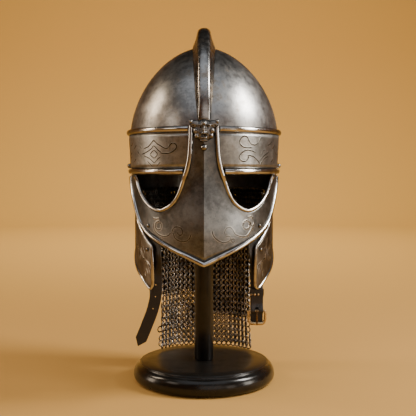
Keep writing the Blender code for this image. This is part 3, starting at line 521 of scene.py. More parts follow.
def makeBrowRim(name, node, height, nasalTurn):
    nasalSide = math.sin(math.radians(nasalTurn)) * mask["width"]
    first = math.asin((nasalSide + mask["nasalRim"] + brow["rimGap"]) / wall["width"])
    sides = 16

    def place(across, along):
        turn = mix(first, math.tau - first, across)
        angle = math.tau * (round(along * sides) % sides) / sides
        bulge = gap + brow["rimDepth"] * max(math.cos(angle), 0.0) ** 0.8
        return around(turn, *wallRadii(height, bulge), height + brow["rimHalf"] * math.sin(angle))

    addRim(name, node, closeHoles(gridMesh(200, sides, place)))


makeSkull()
makeBand()
makeBrowRim("browRimUpper", "brow_rim_upper", brow["high"], 8.7)
makeBrowRim("browRimLower", "brow_rim_lower", brow["low"], 12.6)
print("skull and band done")


# Mask

maskRimRows = ((0, 0.992), (10, 0.925), (25, 0.836), (42, 0.724), (48.5, 0.674), (57.5, 0.581),
               (63, 0.478), (68, 0.369), (73, 0.267), (79, 0.155), (84, 0.07))
eyeRimRows = ((8.7, -0.481), (9.2, -0.30), (10.1, -0.14), (12.1, 0.0), (14.9, 0.11), (18.3, 0.24),
              (22.3, 0.334), (28.3, 0.400), (35, 0.427), (43, 0.392), (49.7, 0.328), (55.3, 0.248),
              (59.5, 0.160), (62, 0.058))


def maskRadii(height, outside=0.0):
    over = 2 * gap + brow["plate"] + mask["wall"] / 2
    if height > brow["low"]:
        return mask["width"] + outside, wallRadii(height)[1] + over + outside
    lean = mask["lean"] * (brow["low"] - height)
    return mask["width"] - lean + outside, wallRadii(brow["low"])[1] + over - lean + outside


def ridge(across, height):
    reach = mix(mask["nasalHalf"], mask["ridgeHalf"], ease(brow["low"] - height, 0.0, mask["ridgeDrop"]))
    return mask["ridge"] * reach / mask["ridgeHalf"] * max(1 - abs(across) / reach, 0.0) ** 1.5


def nasalLift(height):
    start = brow["low"] - brow["rimHalf"] - mask["liftRun"]
    return ease(height, start, start + mask["liftRun"]) * (mask["nasalRim"] - mask["wall"] / 2 + gap)


def maskPoint(turn, height, outside=0.0):
    point = around(turn, *maskRadii(height, outside), height)
    point.y -= ridge(point.x, height)
    return point


def maskPattern(rows, count):
    return smoothRun([(math.radians(turn) * mask["width"], brow["low"] - mask["drop"] * share)
                      for turn, share in rows], count)


def makeMask():
    edge = beside(maskPattern(maskRimRows, 160), mask["rim"] + gap * 0.5)
    eye = beside(maskPattern(eyeRimRows, 80), -mask["eyeRim"] - gap * 0.5)
    top = brow["low"] + mask["nasalRise"] - 1
    nasalEdge = eye[0].x - (mask["nasalRim"] - mask["eyeRim"])
    browEdge = brow["low"] - brow["rimHalf"] - gap
    temple = edge[-1].x
    upper = [Vector((nasalEdge * share, top)) for share in (0.0, 0.25, 0.5, 0.75, 1.0)]
    upper += [point for point in eye[1:] if point.y < top - 2]
    upper += [Vector((mix(eye[-1].x, temple, step / 14), browEdge)) for step in range(1, 15)]
    reach = reachOf(upper)
    lower = []
    for point, at in zip(upper, reach):
        across = 0.75 * point.x + 0.25 * temple * at / reach[-1]
        lower.append(Vector((across, heightAt(edge, across))))

    def place(across, along):
        index = round(across * (len(upper) - 1))
        spot = lower[index].lerp(upper[index], along)
        return maskPoint(spot.x / mask["width"], spot.y)

    bm = mirrored(gridMesh(len(upper) - 1, 30, place))
    addPlate("maskPlate", "mask", bm, plateSteel, mask["wall"], sharp=22)


def makeMaskRims():
    half = [maskPoint(spot.x / mask["width"], spot.y) for spot in maskPattern(maskRimRows, 60)]
    path = [onSide(-1, point) for point in reversed(half[1:])] + half
    addRim("maskRimLower", "mask_rim_lower", sweep(path, 12, lambda index: mask["rim"]))
    run = maskPattern(eyeRimRows, 80)
    radii = [mix(mask["eyeRim"], mask["nasalRim"], ease(spot.y, brow["low"] - 30, brow["low"])) for spot in run]
    for side, hand in hands:
        path = [onSide(side, maskPoint(spot.x / mask["width"], spot.y, nasalLift(spot.y))) for spot in run]
        addRim("eyeRim" + hand.title(), "eye_rim_" + hand, sweep(path, 12, lambda index: radii[index]))


makeMask()
makeMaskRims()
print("mask done")


# Cheek plates

cheek = dict(width=96.75, depth=112.0, wall=1.5, drop=155.1, rim=2.0, front=44.3, rear=113.0)
cheekTopRows = ((44.3, 0.66), (45.3, 0.630), (48.7, 0.605), (56.8, 0.534), (64.6, 0.471),
                (74.4, 0.37), (88, 0.262), (100, 0.235), (113, 0.225))
cheekBottomRows = ((44.3, 0.958), (45.4, 0.990), (47.2, 1.0), (51, 0.977), (60, 0.918), (78, 0.815),
                   (90, 0.725), (103, 0.655), (113, 0.60))


def cheekPoint(side, turn, height, outside=0.0):
    return onSide(side, around(turn, cheek["width"] + outside, cheek["depth"] + outside, height))


def cheekPattern(rows, count):
    return smoothRun([(math.radians(turn) * cheek["depth"], brow["low"] - cheek["drop"] * share)
                      for turn, share in rows], count)


def makeCheeks():
    inset = cheek["rim"] + gap * 0.5
    top = beside(cheekPattern(cheekTopRows, 120), -inset)
    bottom = beside(cheekPattern(cheekBottomRows, 120), inset)
    first = math.radians(cheek["front"]) * cheek["depth"] + inset
    last = math.radians(cheek["rear"]) * cheek["depth"] - inset
    loop = cheekPattern(cheekTopRows, 60) + list(reversed(cheekPattern(cheekBottomRows, 50)))
    for side, hand in hands:
        def place(across, along):
            at = mix(first, last, across)
            height = mix(heightAt(bottom, at), heightAt(top, at), along)
            return cheekPoint(side, at / cheek["depth"], height)

        addPlate("cheekPlate" + hand.title(), "cheek_plate_" + hand, gridMesh(60, 24, place), cheekSteel,
                 cheek["wall"])
        path = [cheekPoint(side, spot.x / cheek["depth"], spot.y) for spot in loop]
        bm = sweep(path, 12, lambda index: cheek["rim"], closed=True)
        addRim("cheekRim" + hand.title(), "cheek_rim_" + hand, bm)


makeCheeks()
print("cheek plates done")


# Engraving: every stroke is a narrow ribbon with two raised lips and a dark line between them.
# Strokes are drawn flat in millimetres round their motif's middle, along the plate and up.

engraving = dict(band=2.2, mask=2.7, cheek=1.9, lips=(0.02, 0.15, 0.03, 0.15, 0.02), step=0.9,
                 lozenge=318.2, lozengeTurns=(-38.1, 86, 165, 244),
                 scroll=324.9, scrollTurns=(29.4, 109, 188, 265.5))


def curl(middle, radius, start, sweepBy, shrink=0.0, steps=10):
    # An arc round a middle, in degrees, whose radius shrinks by a share as it goes
    arc = []
    for step in range(steps + 1):
        size, angle = radius * (1 - shrink * step / steps), math.radians(start + sweepBy * step / steps)
        arc.append((middle[0] + size * math.cos(angle), middle[1] + size * math.sin(angle)))
    return arc


lozengeMotif = [[(-20.5, 7.9), (-9.8, 10.7), (0, 18.6)],
                [(0, 18.6), (6.4, 13.4), (13.6, 10.1), (18, 7.9), (23.3, 7.9), (27.6, 12.3), (31.2, 14.6)],
                [(11.6, 1.2), (24.2, 1.2), (32, 4), (36.6, 8.7), (35.3, 12.6), (32, 13.6)],
                [(-26, 0.8), (-20.5, 1.6), (-6.8, 6.3), (0, 11.4)], [(0, 11.4), (8.2, 5.1), (13, 2.2)],
                [(-20.5, -1.6), (-9.8, -4.7), (0, -11)], [(0, -11), (8, -4.7), (12, -2.8)],
                [(-13.5, -8.3), (-4, -15.4)], [(4.8, -14.6), (11, -9.5)],
                [(0, 6), (-4, 3.2), (-8, 0)], [(-8, 0), (-4, -2.6), (0, -5)],
                [(0, -5), (3.6, -2.6), (7, 0)], [(7, 0), (3.6, 3.2), (0, 6)],
                [(-31, 12.6), (-28, 10), (-25.6, 7.9)], [(-37.5, 4.8), (-34, 2), (-30.5, 0)],
                [(-41.5, -7.9), (-40.5, -10), (-39.5, -12.3)]]
scrollMotif = [[(24, 8.4), (18.9, 5.6), (14, 5.8), (9.6, 7.6), (6.9, 11.5), (3.9, 15.1), (0, 16.4),
                (-4.3, 14.6), (-7.9, 9.4), (-6, 5.4), (-1.6, 2.7), (4.6, 1.8), (12.7, 2)],
               [(5, 10), (7.2, 11.5)], [(25.5, 8.4), (28.7, 13.7), (30.3, 16.4)],
               [(20.2, -4.7), (12.7, -2.2), (4.6, -1.3), (-2, -3.8), (-6.5, -7.4), (-7.9, -10.5), (-6, -13.6),
                (0, -16), (5.2, -14.1), (6.9, -10.5), (6.2, -8.3)],
               [(6.2, -8.3), (9, -8.1), (15.2, -9.2), (21.6, -12.7), (26, -15.7), (29.6, -19.3)],
               [(29.6, -20.6), (33.2, -16.6), (39.4, -11.8), (48.5, -8.3)],
               [(28.9, -14.5), (35.8, -9.2), (49.5, -2.9)],
               [(31.6, -6.5), (34.5, -3), (38.5, -0.4)], [(45.8, 5.8), (51.5, 7.2), (57, 11.1)],
               [(60, 0.9), (66.5, 4.9), (69, 6.7)], [(58, -16.3), (61, -14.5), (65.5, -11.8)]]
maskLeftMotif = [curl((0, 0), 5.4, 60, 360),
                 [(-7.3, 4.3), (-8.3, -3), (-3.5, -9.4), (5.4, -12.9), (14.3, -12.3), (20, -8)],
                 [(21.3, -8), (23.5, -2), (29.6, 0), (34.8, -2.5), (36, -8), (32.6, -10.6), (29.4, -8.6),
                  (30.4, -6)],
                 [(22.7, -8), (26.7, -15.4), (36.5, -18.5), (44, -15.4), (47.5, -8.5)],
                 curl((5.2, -16), 2.0, 0, 360), [(-9, 10), (-4.5, 8.4), (2, 9.4)]]
maskRightMotif = [curl((0, 0), 5.5, 60, 360),
                  [(-32.4, -9.8), (-30.4, -4.3), (-25.5, -1.8), (-20.9, -4.9), (-17.2, -11), (-10.3, -14.1),
                   (0, -14.8), (6, -9.8), (10, -3.7), (13, 2.5)],
                  [(-48.5, -4.9), (-46, -12.3), (-39.5, -18.5), (-31.5, -20.9), (-25, -19), (-23.4, -15.4),
                   (-26.5, -13), (-30.5, -14)],
                  [(4.5, 5.5), (8, -0.5), (13, -7.4)], curl((-20, -19), 2.3, 0, 360),
                  [(2, 9), (7, 10.5), (11, 8)]]


def cheekMotif():
    # Leaf scrolls that follow each other along the plate, turning up and down in turn
    strokes = []
    for number in range(9):
        way = 1 if number % 2 else -1
        left, low = -56 + 14 * number, 7.5 * way
        strokes.append(curl((left, low), 6.4, -90 * way, 330 * way, 0.55, 14))
        strokes.append(curl((left, low), 8.6, -150 * way, 130 * way, 0.0, 8))
        for leaf in (((-7, -7), (-2, -9.5), (5, -8.5)), ((5.5, 6), (8.5, 10), (6, 14))):
            strokes.append([(left + x, low + y * way) for x, y in leaf])
    return strokes


def ribbonsOn(name, paint, motifs, width, placeAt, keep=None):
    # motifs: (strokes, middle) pairs; placeAt turns a flat place and a lift into a point on the plate
    bm = bmesh.new()
    bm.loops.layers.uv.new("UVMap")
    lips = engraving["lips"]
    rows = len(lips) - 1
    for strokes, middle in motifs:
        for stroke in strokes:
            knots = [Vector((x + middle[0], y + middle[1])) for x, y in stroke]
            if keep and not all(keep(knot) for knot in knots):
                continue
            run = smoothRun(knots, max(int(reachOf(knots)[-1] / engraving["step"]), 4))
            last = len(run) - 1
            made = bmesh.ops.create_grid(bm, x_segments=last, y_segments=rows, size=0.5, calc_uvs=True)
            for vert in made["verts"]:
                index, row = round((vert.co.x + 0.5) * last), round((vert.co.y + 0.5) * rows)
                taper = min(1.0, 0.35 + 0.4 * min(index, last - index))
                spot = run[index] + leftAt(run, index) * width * taper * (row / rows - 0.5)
                vert.co = placeAt(spot, lips[row])
    addPiece(name, turnOut(bm), paint, sharp=80)


def onBand(spot, lift):
    turn = spot.x / (wall["width"] + wall["depth"]) * 2
    return around(turn, *wallRadii(spot.y, gap + brow["plate"] + lift), spot.y)


def onMask(spot, lift):
    return maskPoint(spot.x / mask["width"], spot.y, mask["wall"] / 2 + lift)


def makeEngraving():
    perDegree = math.radians((wall["width"] + wall["depth"]) / 2)
    motifs = [(lozengeMotif, (turn * perDegree, engraving["lozenge"])) for turn in engraving["lozengeTurns"]]
    motifs += [(scrollMotif, (turn * perDegree, engraving["scroll"])) for turn in engraving["scrollTurns"]]
    ribbonsOn("bandEngraving", bandLine, motifs, engraving["band"], onBand)
    motifs = [(maskLeftMotif, (-63.8, brow["low"] - 70)), (maskRightMotif, (58.5, brow["low"] - 68.5))]
    ribbonsOn("maskEngraving", plateLine, motifs, engraving["mask"], onMask)
    top, bottom = cheekPattern(cheekTopRows, 60), cheekPattern(cheekBottomRows, 60)
    inset = cheek["rim"] + 1.5
    middle = math.radians((cheek["front"] + cheek["rear"]) / 2) * cheek["depth"]
    strokes = [[(x, y + (heightAt(bottom, middle + x) + heightAt(top, middle + x)) / 2) for x, y in stroke]
               for stroke in cheekMotif()]

    def onPlate(spot):
        return heightAt(bottom, spot.x) + inset < spot.y < heightAt(top, spot.x) - inset

    for side, hand in hands:
        def onCheek(spot, lift):
            return cheekPoint(side, spot.x / cheek["depth"], spot.y, cheek["wall"] / 2 + lift)

        ribbonsOn("cheekEngraving" + hand.title(), plateLine, [(strokes, (middle, 0.0))],
                  engraving["cheek"], onCheek, onPlate)


makeEngraving()
print("engraving done")


# Crest, boss and rivets

crest = dict(rise=26.6, foot=4.5, top=7.9, base=16.0, wall=1.5, start=61.0, end=58.0)
crestSection = ((0.0, 0.0, 1.0), (0.3, 0.0, 0.993), (0.55, 0.0, 0.97), (0.72, 0.0, 0.937), (0.85, 0.0, 0.89),
                (0.94, 0.0, 0.84), (1.0, 0.02, 0.77), (1.0, 0.10, 0.66), (1.0, 0.24, 0.51), (1.0, 0.44, 0.34),
                (1.0, 0.70, 0.16), (1.0, 1.0, 0.0))


def onBowl(point, outside):
    ray = point - Vector((0, 0, wall["spring"]))
    level = math.hypot(ray.x / wall["width"], ray.y / wall["depth"])
    size = (level ** wall["power"] + (abs(ray.z) / wall["rise"]) ** wall["power"]) ** (1 / wall["power"])
    surface = ray / size
    return Vector((0, 0, wall["spring"])) + surface + surface.normalized() * outside


def makeCrest():
    def angleAt(rise):
        return math.asin(((rise - (wall["spring"] - brow["low"])) / wall["rise"]) ** (wall["power"] / 2))

    start, end = angleAt(crest["start"]), math.pi - angleAt(crest["end"])
    seat = 2 * gap + crest["wall"] / 2
    half = smoothRun(crestSection, 18)
    middle = len(half) - 1

    def place(across, along):
        angle = mix(start, end, along)
        swell = math.sin(math.pi * along) ** 0.8 if 0 < along < 1 else 0.0
        tall = mix(crest["foot"], crest["rise"], swell) - crest["wall"] / 2
        index = round(across * 2 * middle) - middle
        onTop, out, up = half[abs(index)]
        topHalf = mix(crest["top"] * 0.88, crest["top"], swell)
        baseHalf = mix(topHalf * 1.05, crest["base"], swell)
        wide = topHalf * onTop + (baseHalf - topHalf) * out - crest["wall"] / 2 * onTop
        share = abs(math.cos(angle)) ** (2 / wall["power"])
        depth = math.copysign(share * wall["depth"], -math.cos(angle))
        rise = wall["rise"] * math.sin(angle) ** (2 / wall["power"])
        line = Vector((math.copysign(wide, index), depth, wall["spring"] + rise))
        return onBowl(line, seat + (tall - seat) * up)

    addPlate("crestComb", "crest", gridMesh(2 * middle, 120, place), crestSteel, crest["wall"])


boss = dict(width=38.4, height=28.4, depth=7.5, rise=50.8)
# Each lump of the beast's head: across, up, half width, half height, depth, all as shares.
# A lump or pit beside the middle stands for a pair.
bossLumps = ((0, 0, 0.70, 0.96, 0.55), (0.60, 0.55, 0.34, 0.36, 0.45), (0.86, 0.78, 0.13, 0.20, 0.50),
             (0.30, 0.48, 0.24, 0.13, 0.95), (0, 0.62, 0.16, 0.26, 0.90), (0, 0.05, 0.15, 0.50, 1.0),
             (0, -0.22, 0.30, 0.20, 0.98), (0.17, -0.24, 0.12, 0.12, 1.02), (0, -0.62, 0.28, 0.18, 0.86),
             (0.52, -0.02, 0.19, 0.30, 0.78), (0.46, -0.46, 0.17, 0.26, 0.66), (0, -0.86, 0.30, 0.14, 0.62))
# Each pit: across and up as shares, radius and depth in millimetres
bossPits = ((0.22, 0.26, 1.5, 1.6), (0.10, -0.18, 0.9, 0.9), (0.70, 0.42, 1.4, 1.0), (0.36, -0.44, 1.0, 0.9),
            (0.52, -0.02, 0.9, 0.8), (0, -0.44, 1.3, 1.3), (0.14, -0.42, 1.0, 1.1), (0, 0.86, 1.0, 0.7))


def paired(rows):
    return [(side * across, *rest) for across, *rest in rows for side in ((-1, 1) if across else (1,))]


def makeBoss():
    middle = brow["low"] + boss["rise"]
    back = maskPoint(0.0, middle - boss["height"] / 2, mask["wall"] / 2).y - gap
    halfWide, halfTall = boss["width"] / 2, boss["height"] / 2
    bm = bmesh.new()
    for across, up, wide, high, deep in paired(bossLumps):
        made = bmesh.ops.create_uvsphere(bm, u_segments=24, v_segments=16, radius=1.0)["verts"]
        bmesh.ops.scale(bm, vec=(wide * halfWide, deep * boss["depth"], high * halfTall), verts=made)
        bmesh.ops.translate(bm, vec=(across * halfWide, back, middle + up * halfTall), verts=made)
    piece = addPiece("crestBoss", bm, cast, nodes=("crest_boss",), sharp=180)
    skin = piece.modifiers.new("skin", "REMESH")
    skin.mode = "VOXEL"
    skin.voxel_size = 0.0003
    skin.use_smooth_shade = True
    bake(piece)
    bm = bmesh.new()
    bm.from_mesh(piece.data)
    scaleAll(bm, 1000)
    cutFlat(bm, (0, back, 0), (0, 1, 0), clear_outer=True)
    for step in range(3):
        bmesh.ops.smooth_vert(bm, verts=[vert for vert in bm.verts if vert.co.y < back - 0.2], factor=0.5,
                              use_axis_x=True, use_axis_y=True, use_axis_z=True)
    creviceShade = bm.verts.layers.float.new("creviceShade")
    pits = paired(bossPits)
    for vert in bm.verts:
        if vert.co.y > back - 0.3:
            continue
        # Painted shade: darker the deeper the surface sinks towards the plate, and darkest in the pits.
        dark = ease(vert.co.y - back, -boss["depth"] * 0.62, -0.4) * 0.75
        for across, up, radius, deep in pits:
            away = math.hypot(vert.co.x - across * halfWide, vert.co.z - middle - up * halfTall) / radius
            if away < 1.6:
                dip = math.exp(-2 * away * away)
                dark = max(dark, dip)
                vert.co.y = min(vert.co.y + deep * dip, back - 0.4)
        vert[creviceShade] = dark
    scaleAll(turnOut(bm), 0.001)
    bm.to_mesh(piece.data)
    bm.free()
    piece.data.shade_smooth()


def makeRivet(name, node, point, outwards, radius, tall, paint=darkSteel):
    bm = bmesh.new()
    bmesh.ops.create_uvsphere(bm, u_segments=28, v_segments=18, radius=1.0)
    foot = 0.35
    cutFlat(bm, (0, 0, -foot), (0, 0, 1), clear_inner=True)
    bmesh.ops.translate(bm, vec=(0, 0, foot), verts=bm.verts)
    bmesh.ops.scale(bm, vec=(radius, radius, tall / (1 + foot)), verts=bm.verts)
    out = Vector(outwards).normalized()
    bmesh.ops.rotate(bm, cent=(0, 0, 0), matrix=out.to_track_quat("Z", "Y").to_matrix(), verts=bm.verts)
    bmesh.ops.translate(bm, vec=Vector(point) + out * gap, verts=bm.verts)
    addPiece(name, turnOut(bm), paint, nodes=(node,))


def makeRivets():
    height = brow["low"] + 29.6
    spot = maskPoint(0.0, height - 4.2, mask["wall"] / 2)
    makeRivet("bossRivet", "boss_rivet", (0, spot.y, height), (0, -1, 0), 4.2, 6.3)
    for side, hand in hands:
        height = brow["low"] + 7.8
        spot = around(side * math.pi / 2, *wallRadii(height, gap + brow["plate"]), height)
        makeRivet("templeRivet" + hand.title(), "temple_rivet_" + hand, spot, (side, 0, 0), 3.4, 5.1)
        height = brow["low"] - mask["drop"] * 0.603
        spot = onSide(side, maskPoint(math.radians(46.2), height, mask["wall"] / 2))
        width, depth = maskRadii(height)
        out = (spot.x / width**2, spot.y / depth**2, 0)
        makeRivet("maskRivet" + hand.title(), "mask_rivet_" + hand, spot, out, 2.5, 2.25)
        height = brow["low"] - cheek["drop"] * 0.667
        spot = cheekPoint(side, math.radians(50.3), height, cheek["wall"] / 2)
        out = (spot.x / cheek["width"]**2, spot.y / cheek["depth"]**2, 0)
        makeRivet("cheekRivet" + hand.title(), "cheek_rivet_" + hand, spot, out, 2.5, 2.25)


makeCrest()
makeBoss()
makeRivets()
print("crest, boss and rivets done")


# Mail

mail = dict(top=274.0, hem=27.3, pitch=7.4, rowPitch=4.2, ring=4.25, wire=1.0, lean=27.0, fold=0.9, thick=3.0)
# Each row: share of the drop, half width, how much further out the right half hangs, edge, back, bend
mailRows = ((0.00, 1.000, 0.00, 1.00, 1.000, 76.0), (0.10, 0.897, 0.00, 1.33, 0.970, 72.0),
            (0.20, 0.815, 0.05, 1.80, 0.950, 68.0), (0.36, 0.726, 0.09, 2.07, 0.905, 70.0),
            (0.60, 0.680, 0.05, 2.10, 0.835, 74.0), (0.80, 0.665, 0.06, 2.05, 0.795, 77.0),
            (1.00, 0.720, 0.07, 1.86, 0.775, 80.0))


def mailPoint(side, drop):
    width, depth = wallRadii(wall["skirt"], -wall["thick"] - 2 * gap - mail["thick"] / 2)
    arc = math.radians(mailRows[0][-1])
    halfWidth, right, edge, back, bend = readRow(mailRows, drop)
    halfWidth *= 1 + right * ease(side, 0.0, 1.0)
    bend = math.radians(bend)
    x = width * math.sin(arc) * halfWidth * math.sin(side * bend) / math.sin(bend)
    near, far = depth * math.cos(arc) * edge, depth * back
    y = mix(near, far, (math.cos(side * bend) - math.cos(bend)) / (1 - math.cos(bend)))
    loose = mail["fold"] * ease(drop, 0.12, 0.5) * (1 - math.cos(4 * math.pi * side))
    x -= loose * math.sin(side * bend)
    y -= loose * math.cos(side * bend)
    return Vector((x, y, mix(mail["top"], mail["hem"], drop)))


def mailRow(height):
    drop = (mail["top"] - height) / (mail["top"] - mail["hem"])
    points = [mailPoint(-1 + step / 60, drop) for step in range(121)]
    return points, reachOf(points)


def ringShape(majors, minors):
    # One ring of wire, spun round its middle
    bm = bmesh.new()
    upright = Matrix.Rotation(math.pi / 2, 4, "X")
    circle = bmesh.ops.create_circle(bm, segments=minors, radius=mail["wire"], matrix=upright)
    bmesh.ops.translate(bm, vec=(mail["ring"], 0, 0), verts=circle["verts"])
    bmesh.ops.spin(bm, geom=bm.verts[:] + bm.edges[:], axis=(0, 0, 1), cent=(0, 0, 0), angle=math.tau,
                   steps=majors, use_merge=True)
    mesh = bpy.data.meshes.new("ring")
    turnOut(bm).to_mesh(mesh)
    bm.free()
    return mesh


def ringsOn(name, paint, first, last, majors, minors, inset=0.0, dense=1.0, nodes=()):
    bm = bmesh.new()
    shape = ringShape(majors, minors)
    pitch, rowPitch = mail["pitch"] * dense, mail["rowPitch"] * dense
    count = int((mail["top"] - mail["hem"] - mail["ring"] * 2) / rowPitch)
    rings = 0
    for row in range(count + 1):
        height = mail["hem"] + mail["ring"] + mail["wire"] + row * rowPitch
        points, reach = mailRow(height)
        total = reach[-1]
        slots = int(total / 2 / pitch) + 1
        for column in range(-slots, slots + 1):
            at = total / 2 + (column + (0.5 if row % 2 else 0.0)) * pitch
            low = first(at / total) if callable(first) else first
            if at < 1.5 or at > total - 1.5 or not low <= height < last:
                continue
            segment = 0
            while segment < len(points) - 2 and at > reach[segment + 1]:
                segment += 1
            share = (at - reach[segment]) / (reach[segment + 1] - reach[segment])
            along = (points[segment + 1] - points[segment]).normalized()
            out = Vector((along.y, -along.x, 0)).normalized()
            spot = points[segment].lerp(points[segment + 1], share) + out * inset
            wobble = noise.noise(spot * 0.21) * 0.5
            lean = math.radians(mail["lean"] * (1 if row % 2 else -1) + wobble * 22)
            across = along * math.cos(lean) + out * math.sin(lean)
            up = Vector((0, 0, 1)) + out * wobble * 0.25
            up = (up - across * up.dot(across)).normalized()
            spot += out * noise.noise(spot * 0.5) * 0.5
            place = Matrix((across, up, across.cross(up))).transposed().to_4x4()
            place.translation = spot
            ring = shape.copy()
            ring.transform(place)
            bm.from_mesh(ring)
            bpy.data.meshes.remove(ring)
            rings += 1
    bpy.data.meshes.remove(shape)
    addPiece(name, bm, paint, nodes=nodes, sharp=180)
    print(name, rings, "rings")


def foldEdge(share):
    # The inner layer ends higher on the left than on the right
    return mix(113.0, 76.0, ease(share, 0.40, 0.60))


def pleatEdge(share):
    # The pleat lies on the left only
    return 53.0 if share < 0.42 else mail["top"]


ringsOn("mailLower", ringSteel, 0.0, 140.0, 14, 5, nodes=("aventail",))
ringsOn("mailUpper", ringSteel, 140.0, 300.0, 12, 5)
# These three layers take the mail steel painted darker as shade.
ringsOn("mailFold", shadedMailSteel, foldEdge, 254.0, 10, 4, inset=-4.2, dense=0.78)
ringsOn("mailTop", shadedMailSteel, 244.0, 268.0, 10, 4, inset=4.2, dense=0.78)
ringsOn("mailPleat", shadedMailSteel, pleatEdge, 97.0, 10, 4, inset=-4.2, dense=1.2)
print("mail done")


# Leather straps, hangers and the buckle

strap = dict(thick=2.4, width=16.8, drop=232.0, depth=67.5, leftDepth=73.0, middle=72.5,
             slantIn=0.6, slantOut=0.9, overPlate=209.5, overRim=223.7, point=0.963)
# Each row: share of the drop, centre, half width as a share, how flat and how free the strap hangs
strapLeftRows = ((0.252, 67.5, 0.60, 0.0, 0.0), (0.415, 67.5, 0.60, 0.0, 0.0), (0.467, 66.0, 0.56, 0.0, 0.0),
                 (0.520, 64.5, 0.51, 0.4, 0.0), (0.600, 64.05, 0.49, 1.0, 0.0), (0.666, 63.86, 0.48, 1.0, 0.0),
                 (0.710, 64.3, 0.465, 1.0, 1.0), (0.788, 68.1, 0.46, 1.0, 1.0), (0.872, 75.2, 0.46, 1.0, 1.0),
                 (0.963, 83.9, 0.46, 1.0, 1.0), (1.000, 87.85, 0.46, 1.0, 1.0))
strapRightRows = ((0.252, 67.5, 0.60, 0.0, 0.0), (0.415, 67.5, 0.60, 0.0, 0.0), (0.467, 68.5, 0.56, 0.0, 0.0),
                  (0.520, 70.3, 0.51, 0.4, 0.0), (0.600, 70.3, 0.50, 1.0, 0.0), (0.642, 70.3, 0.50, 1.0, 0.0),
                  (0.672, 70.3, 0.50, 1.0, 1.0), (0.760, 70.3, 0.50, 1.0, 1.0), (0.866, 70.3, 0.49, 1.0, 1.0))


def ovalDepth(across, halfWidth, halfDepth):
    return -halfDepth * math.sqrt(max(1 - (across / halfWidth) ** 2, 0.0))


def tabDepth(across, height):
    slant = strap["slantOut"] if across > strap["middle"] else strap["slantIn"]
    level = height - slant * (across - strap["middle"])
    overRim = ease(level, strap["overRim"], strap["overRim"] + 4)
    inset = mix(mask["rim"] + 3 * gap, mask["wall"] / 2 + gap, overRim) + strap["thick"] / 2
    onMask = ovalDepth(across, *maskRadii(height, -inset))
    inset = cheek["rim"] + 3 * gap + strap["thick"] / 2
    onCheek = ovalDepth(across, cheek["width"] - inset, cheek["depth"] - inset)
    return mix(onCheek, onMask, ease(level, strap["overPlate"], strap["overPlate"] + 4))


def strapPoint(rows, depth, across, along):
    top, bottom = rows[0][0], rows[-1][0]
    share = mix(bottom, top, along)

    def centre(at):
        return Vector((readRow(rows, at)[0], brow["low"] - strap["drop"] * at))

    half, flat, free = readRow(rows, share)[1:]
    half *= 1 - max(share - strap["point"], 0.0) / (1.003 - strap["point"])
    ahead = centre(max(share - 0.01, top)) - centre(min(share + 0.01, bottom))
    ahead.normalize()
    spot = centre(share) + Vector((ahead.y, -ahead.x)) * strap["width"] * half * (2 * across - 1)
    tab = tabDepth(spot.x, spot.y)
    y = mix(mix(tab, max(tab, -depth), flat), -depth, free)
    return Vector((spot.x, y, spot.y))


def drill(piece, holes, radius):
    # Each hole is drilled along Y
    bm = bmesh.new()
    for hole in holes:
        made = bmesh.ops.create_cone(bm, cap_ends=True, segments=20, radius1=radius, radius2=radius,
                                     depth=12)["verts"]
        bmesh.ops.rotate(bm, cent=(0, 0, 0), matrix=Matrix.Rotation(math.pi / 2, 3, "X"), verts=made)
        bmesh.ops.translate(bm, vec=hole, verts=made)
    cutAway(piece, bm)


def makeStraps():
    for side, hand, rows, depth, holes, radius in (
            (-1, "left", strapLeftRows, strap["leftDepth"], (0.287, 0.379, 0.47), 0.8),
            (1, "right", strapRightRows, strap["depth"], (0.10, 0.42, 0.50), 1.3)):
        def place(across, along):
            return onSide(side, strapPoint(rows, depth, across, along))

        piece = addPlate("strap" + hand.title(), "strap_" + hand, gridMesh(10, 120, place), leather,
                         strap["thick"], 0.5)
        drill(piece, [place(0.5, at) for at in holes], radius)


def makeHangers():
    rim = brow["low"] - cheek["drop"] * 0.255
    top = brow["low"] + brow["bowlEdge"] + 12
    heights = (rim - 21, rim - 12, rim - 4, rim + 4, rim + 14, brow["low"], top)
    underSkull = -wall["thick"] - 2 * gap - strap["thick"] / 2
    behindRim = -cheek["rim"] - gap - strap["thick"] / 2
    behindPlate = -cheek["wall"] / 2 - gap - strap["thick"] / 2
    insets = (behindPlate, behindPlate, behindRim, behindRim, behindPlate)
    radii = [Vector((cheek["width"] + inset, cheek["depth"] + inset)) for inset in insets]
    radii += [Vector(wallRadii(height, underSkull)) for height in heights[5:]]
    for side, hand in hands:
        def place(across, along):
            index = round(along * (len(heights) - 1) * 4) / 4
            low = min(int(index), len(heights) - 2)
            turn = side * (math.radians(93.5) + 9.0 / wall["depth"] * (2 * across - 1))
            width, depth = radii[low].lerp(radii[low + 1], index - low)
            return around(turn, width, depth, mix(heights[low], heights[low + 1], index - low))

        addPlate("hanger" + hand.title(), "hanger_" + hand, gridMesh(6, (len(heights) - 1) * 4, place), leather,
                 strap["thick"], 0.4)


buckle = dict(centre=70.3, height=111.0, width=22.2, length=16.8, bar=1.5, end=2.3, loop=1.8, loopWidth=16.6,
              loopLength=29.4, endSwell=1.12, tongue=2.4, tongueThick=1.3, rivet=1.5, pitch=4.7)
loopBack = strap["depth"] + strap["thick"] / 2 + gap + buckle["loop"] / 2
barDepth = loopBack + buckle["loop"] / 2 + gap + buckle["bar"]
loopBend = buckle["bar"] + gap + buckle["loop"] / 2
loopFront = loopBack + buckle["loop"] + gap


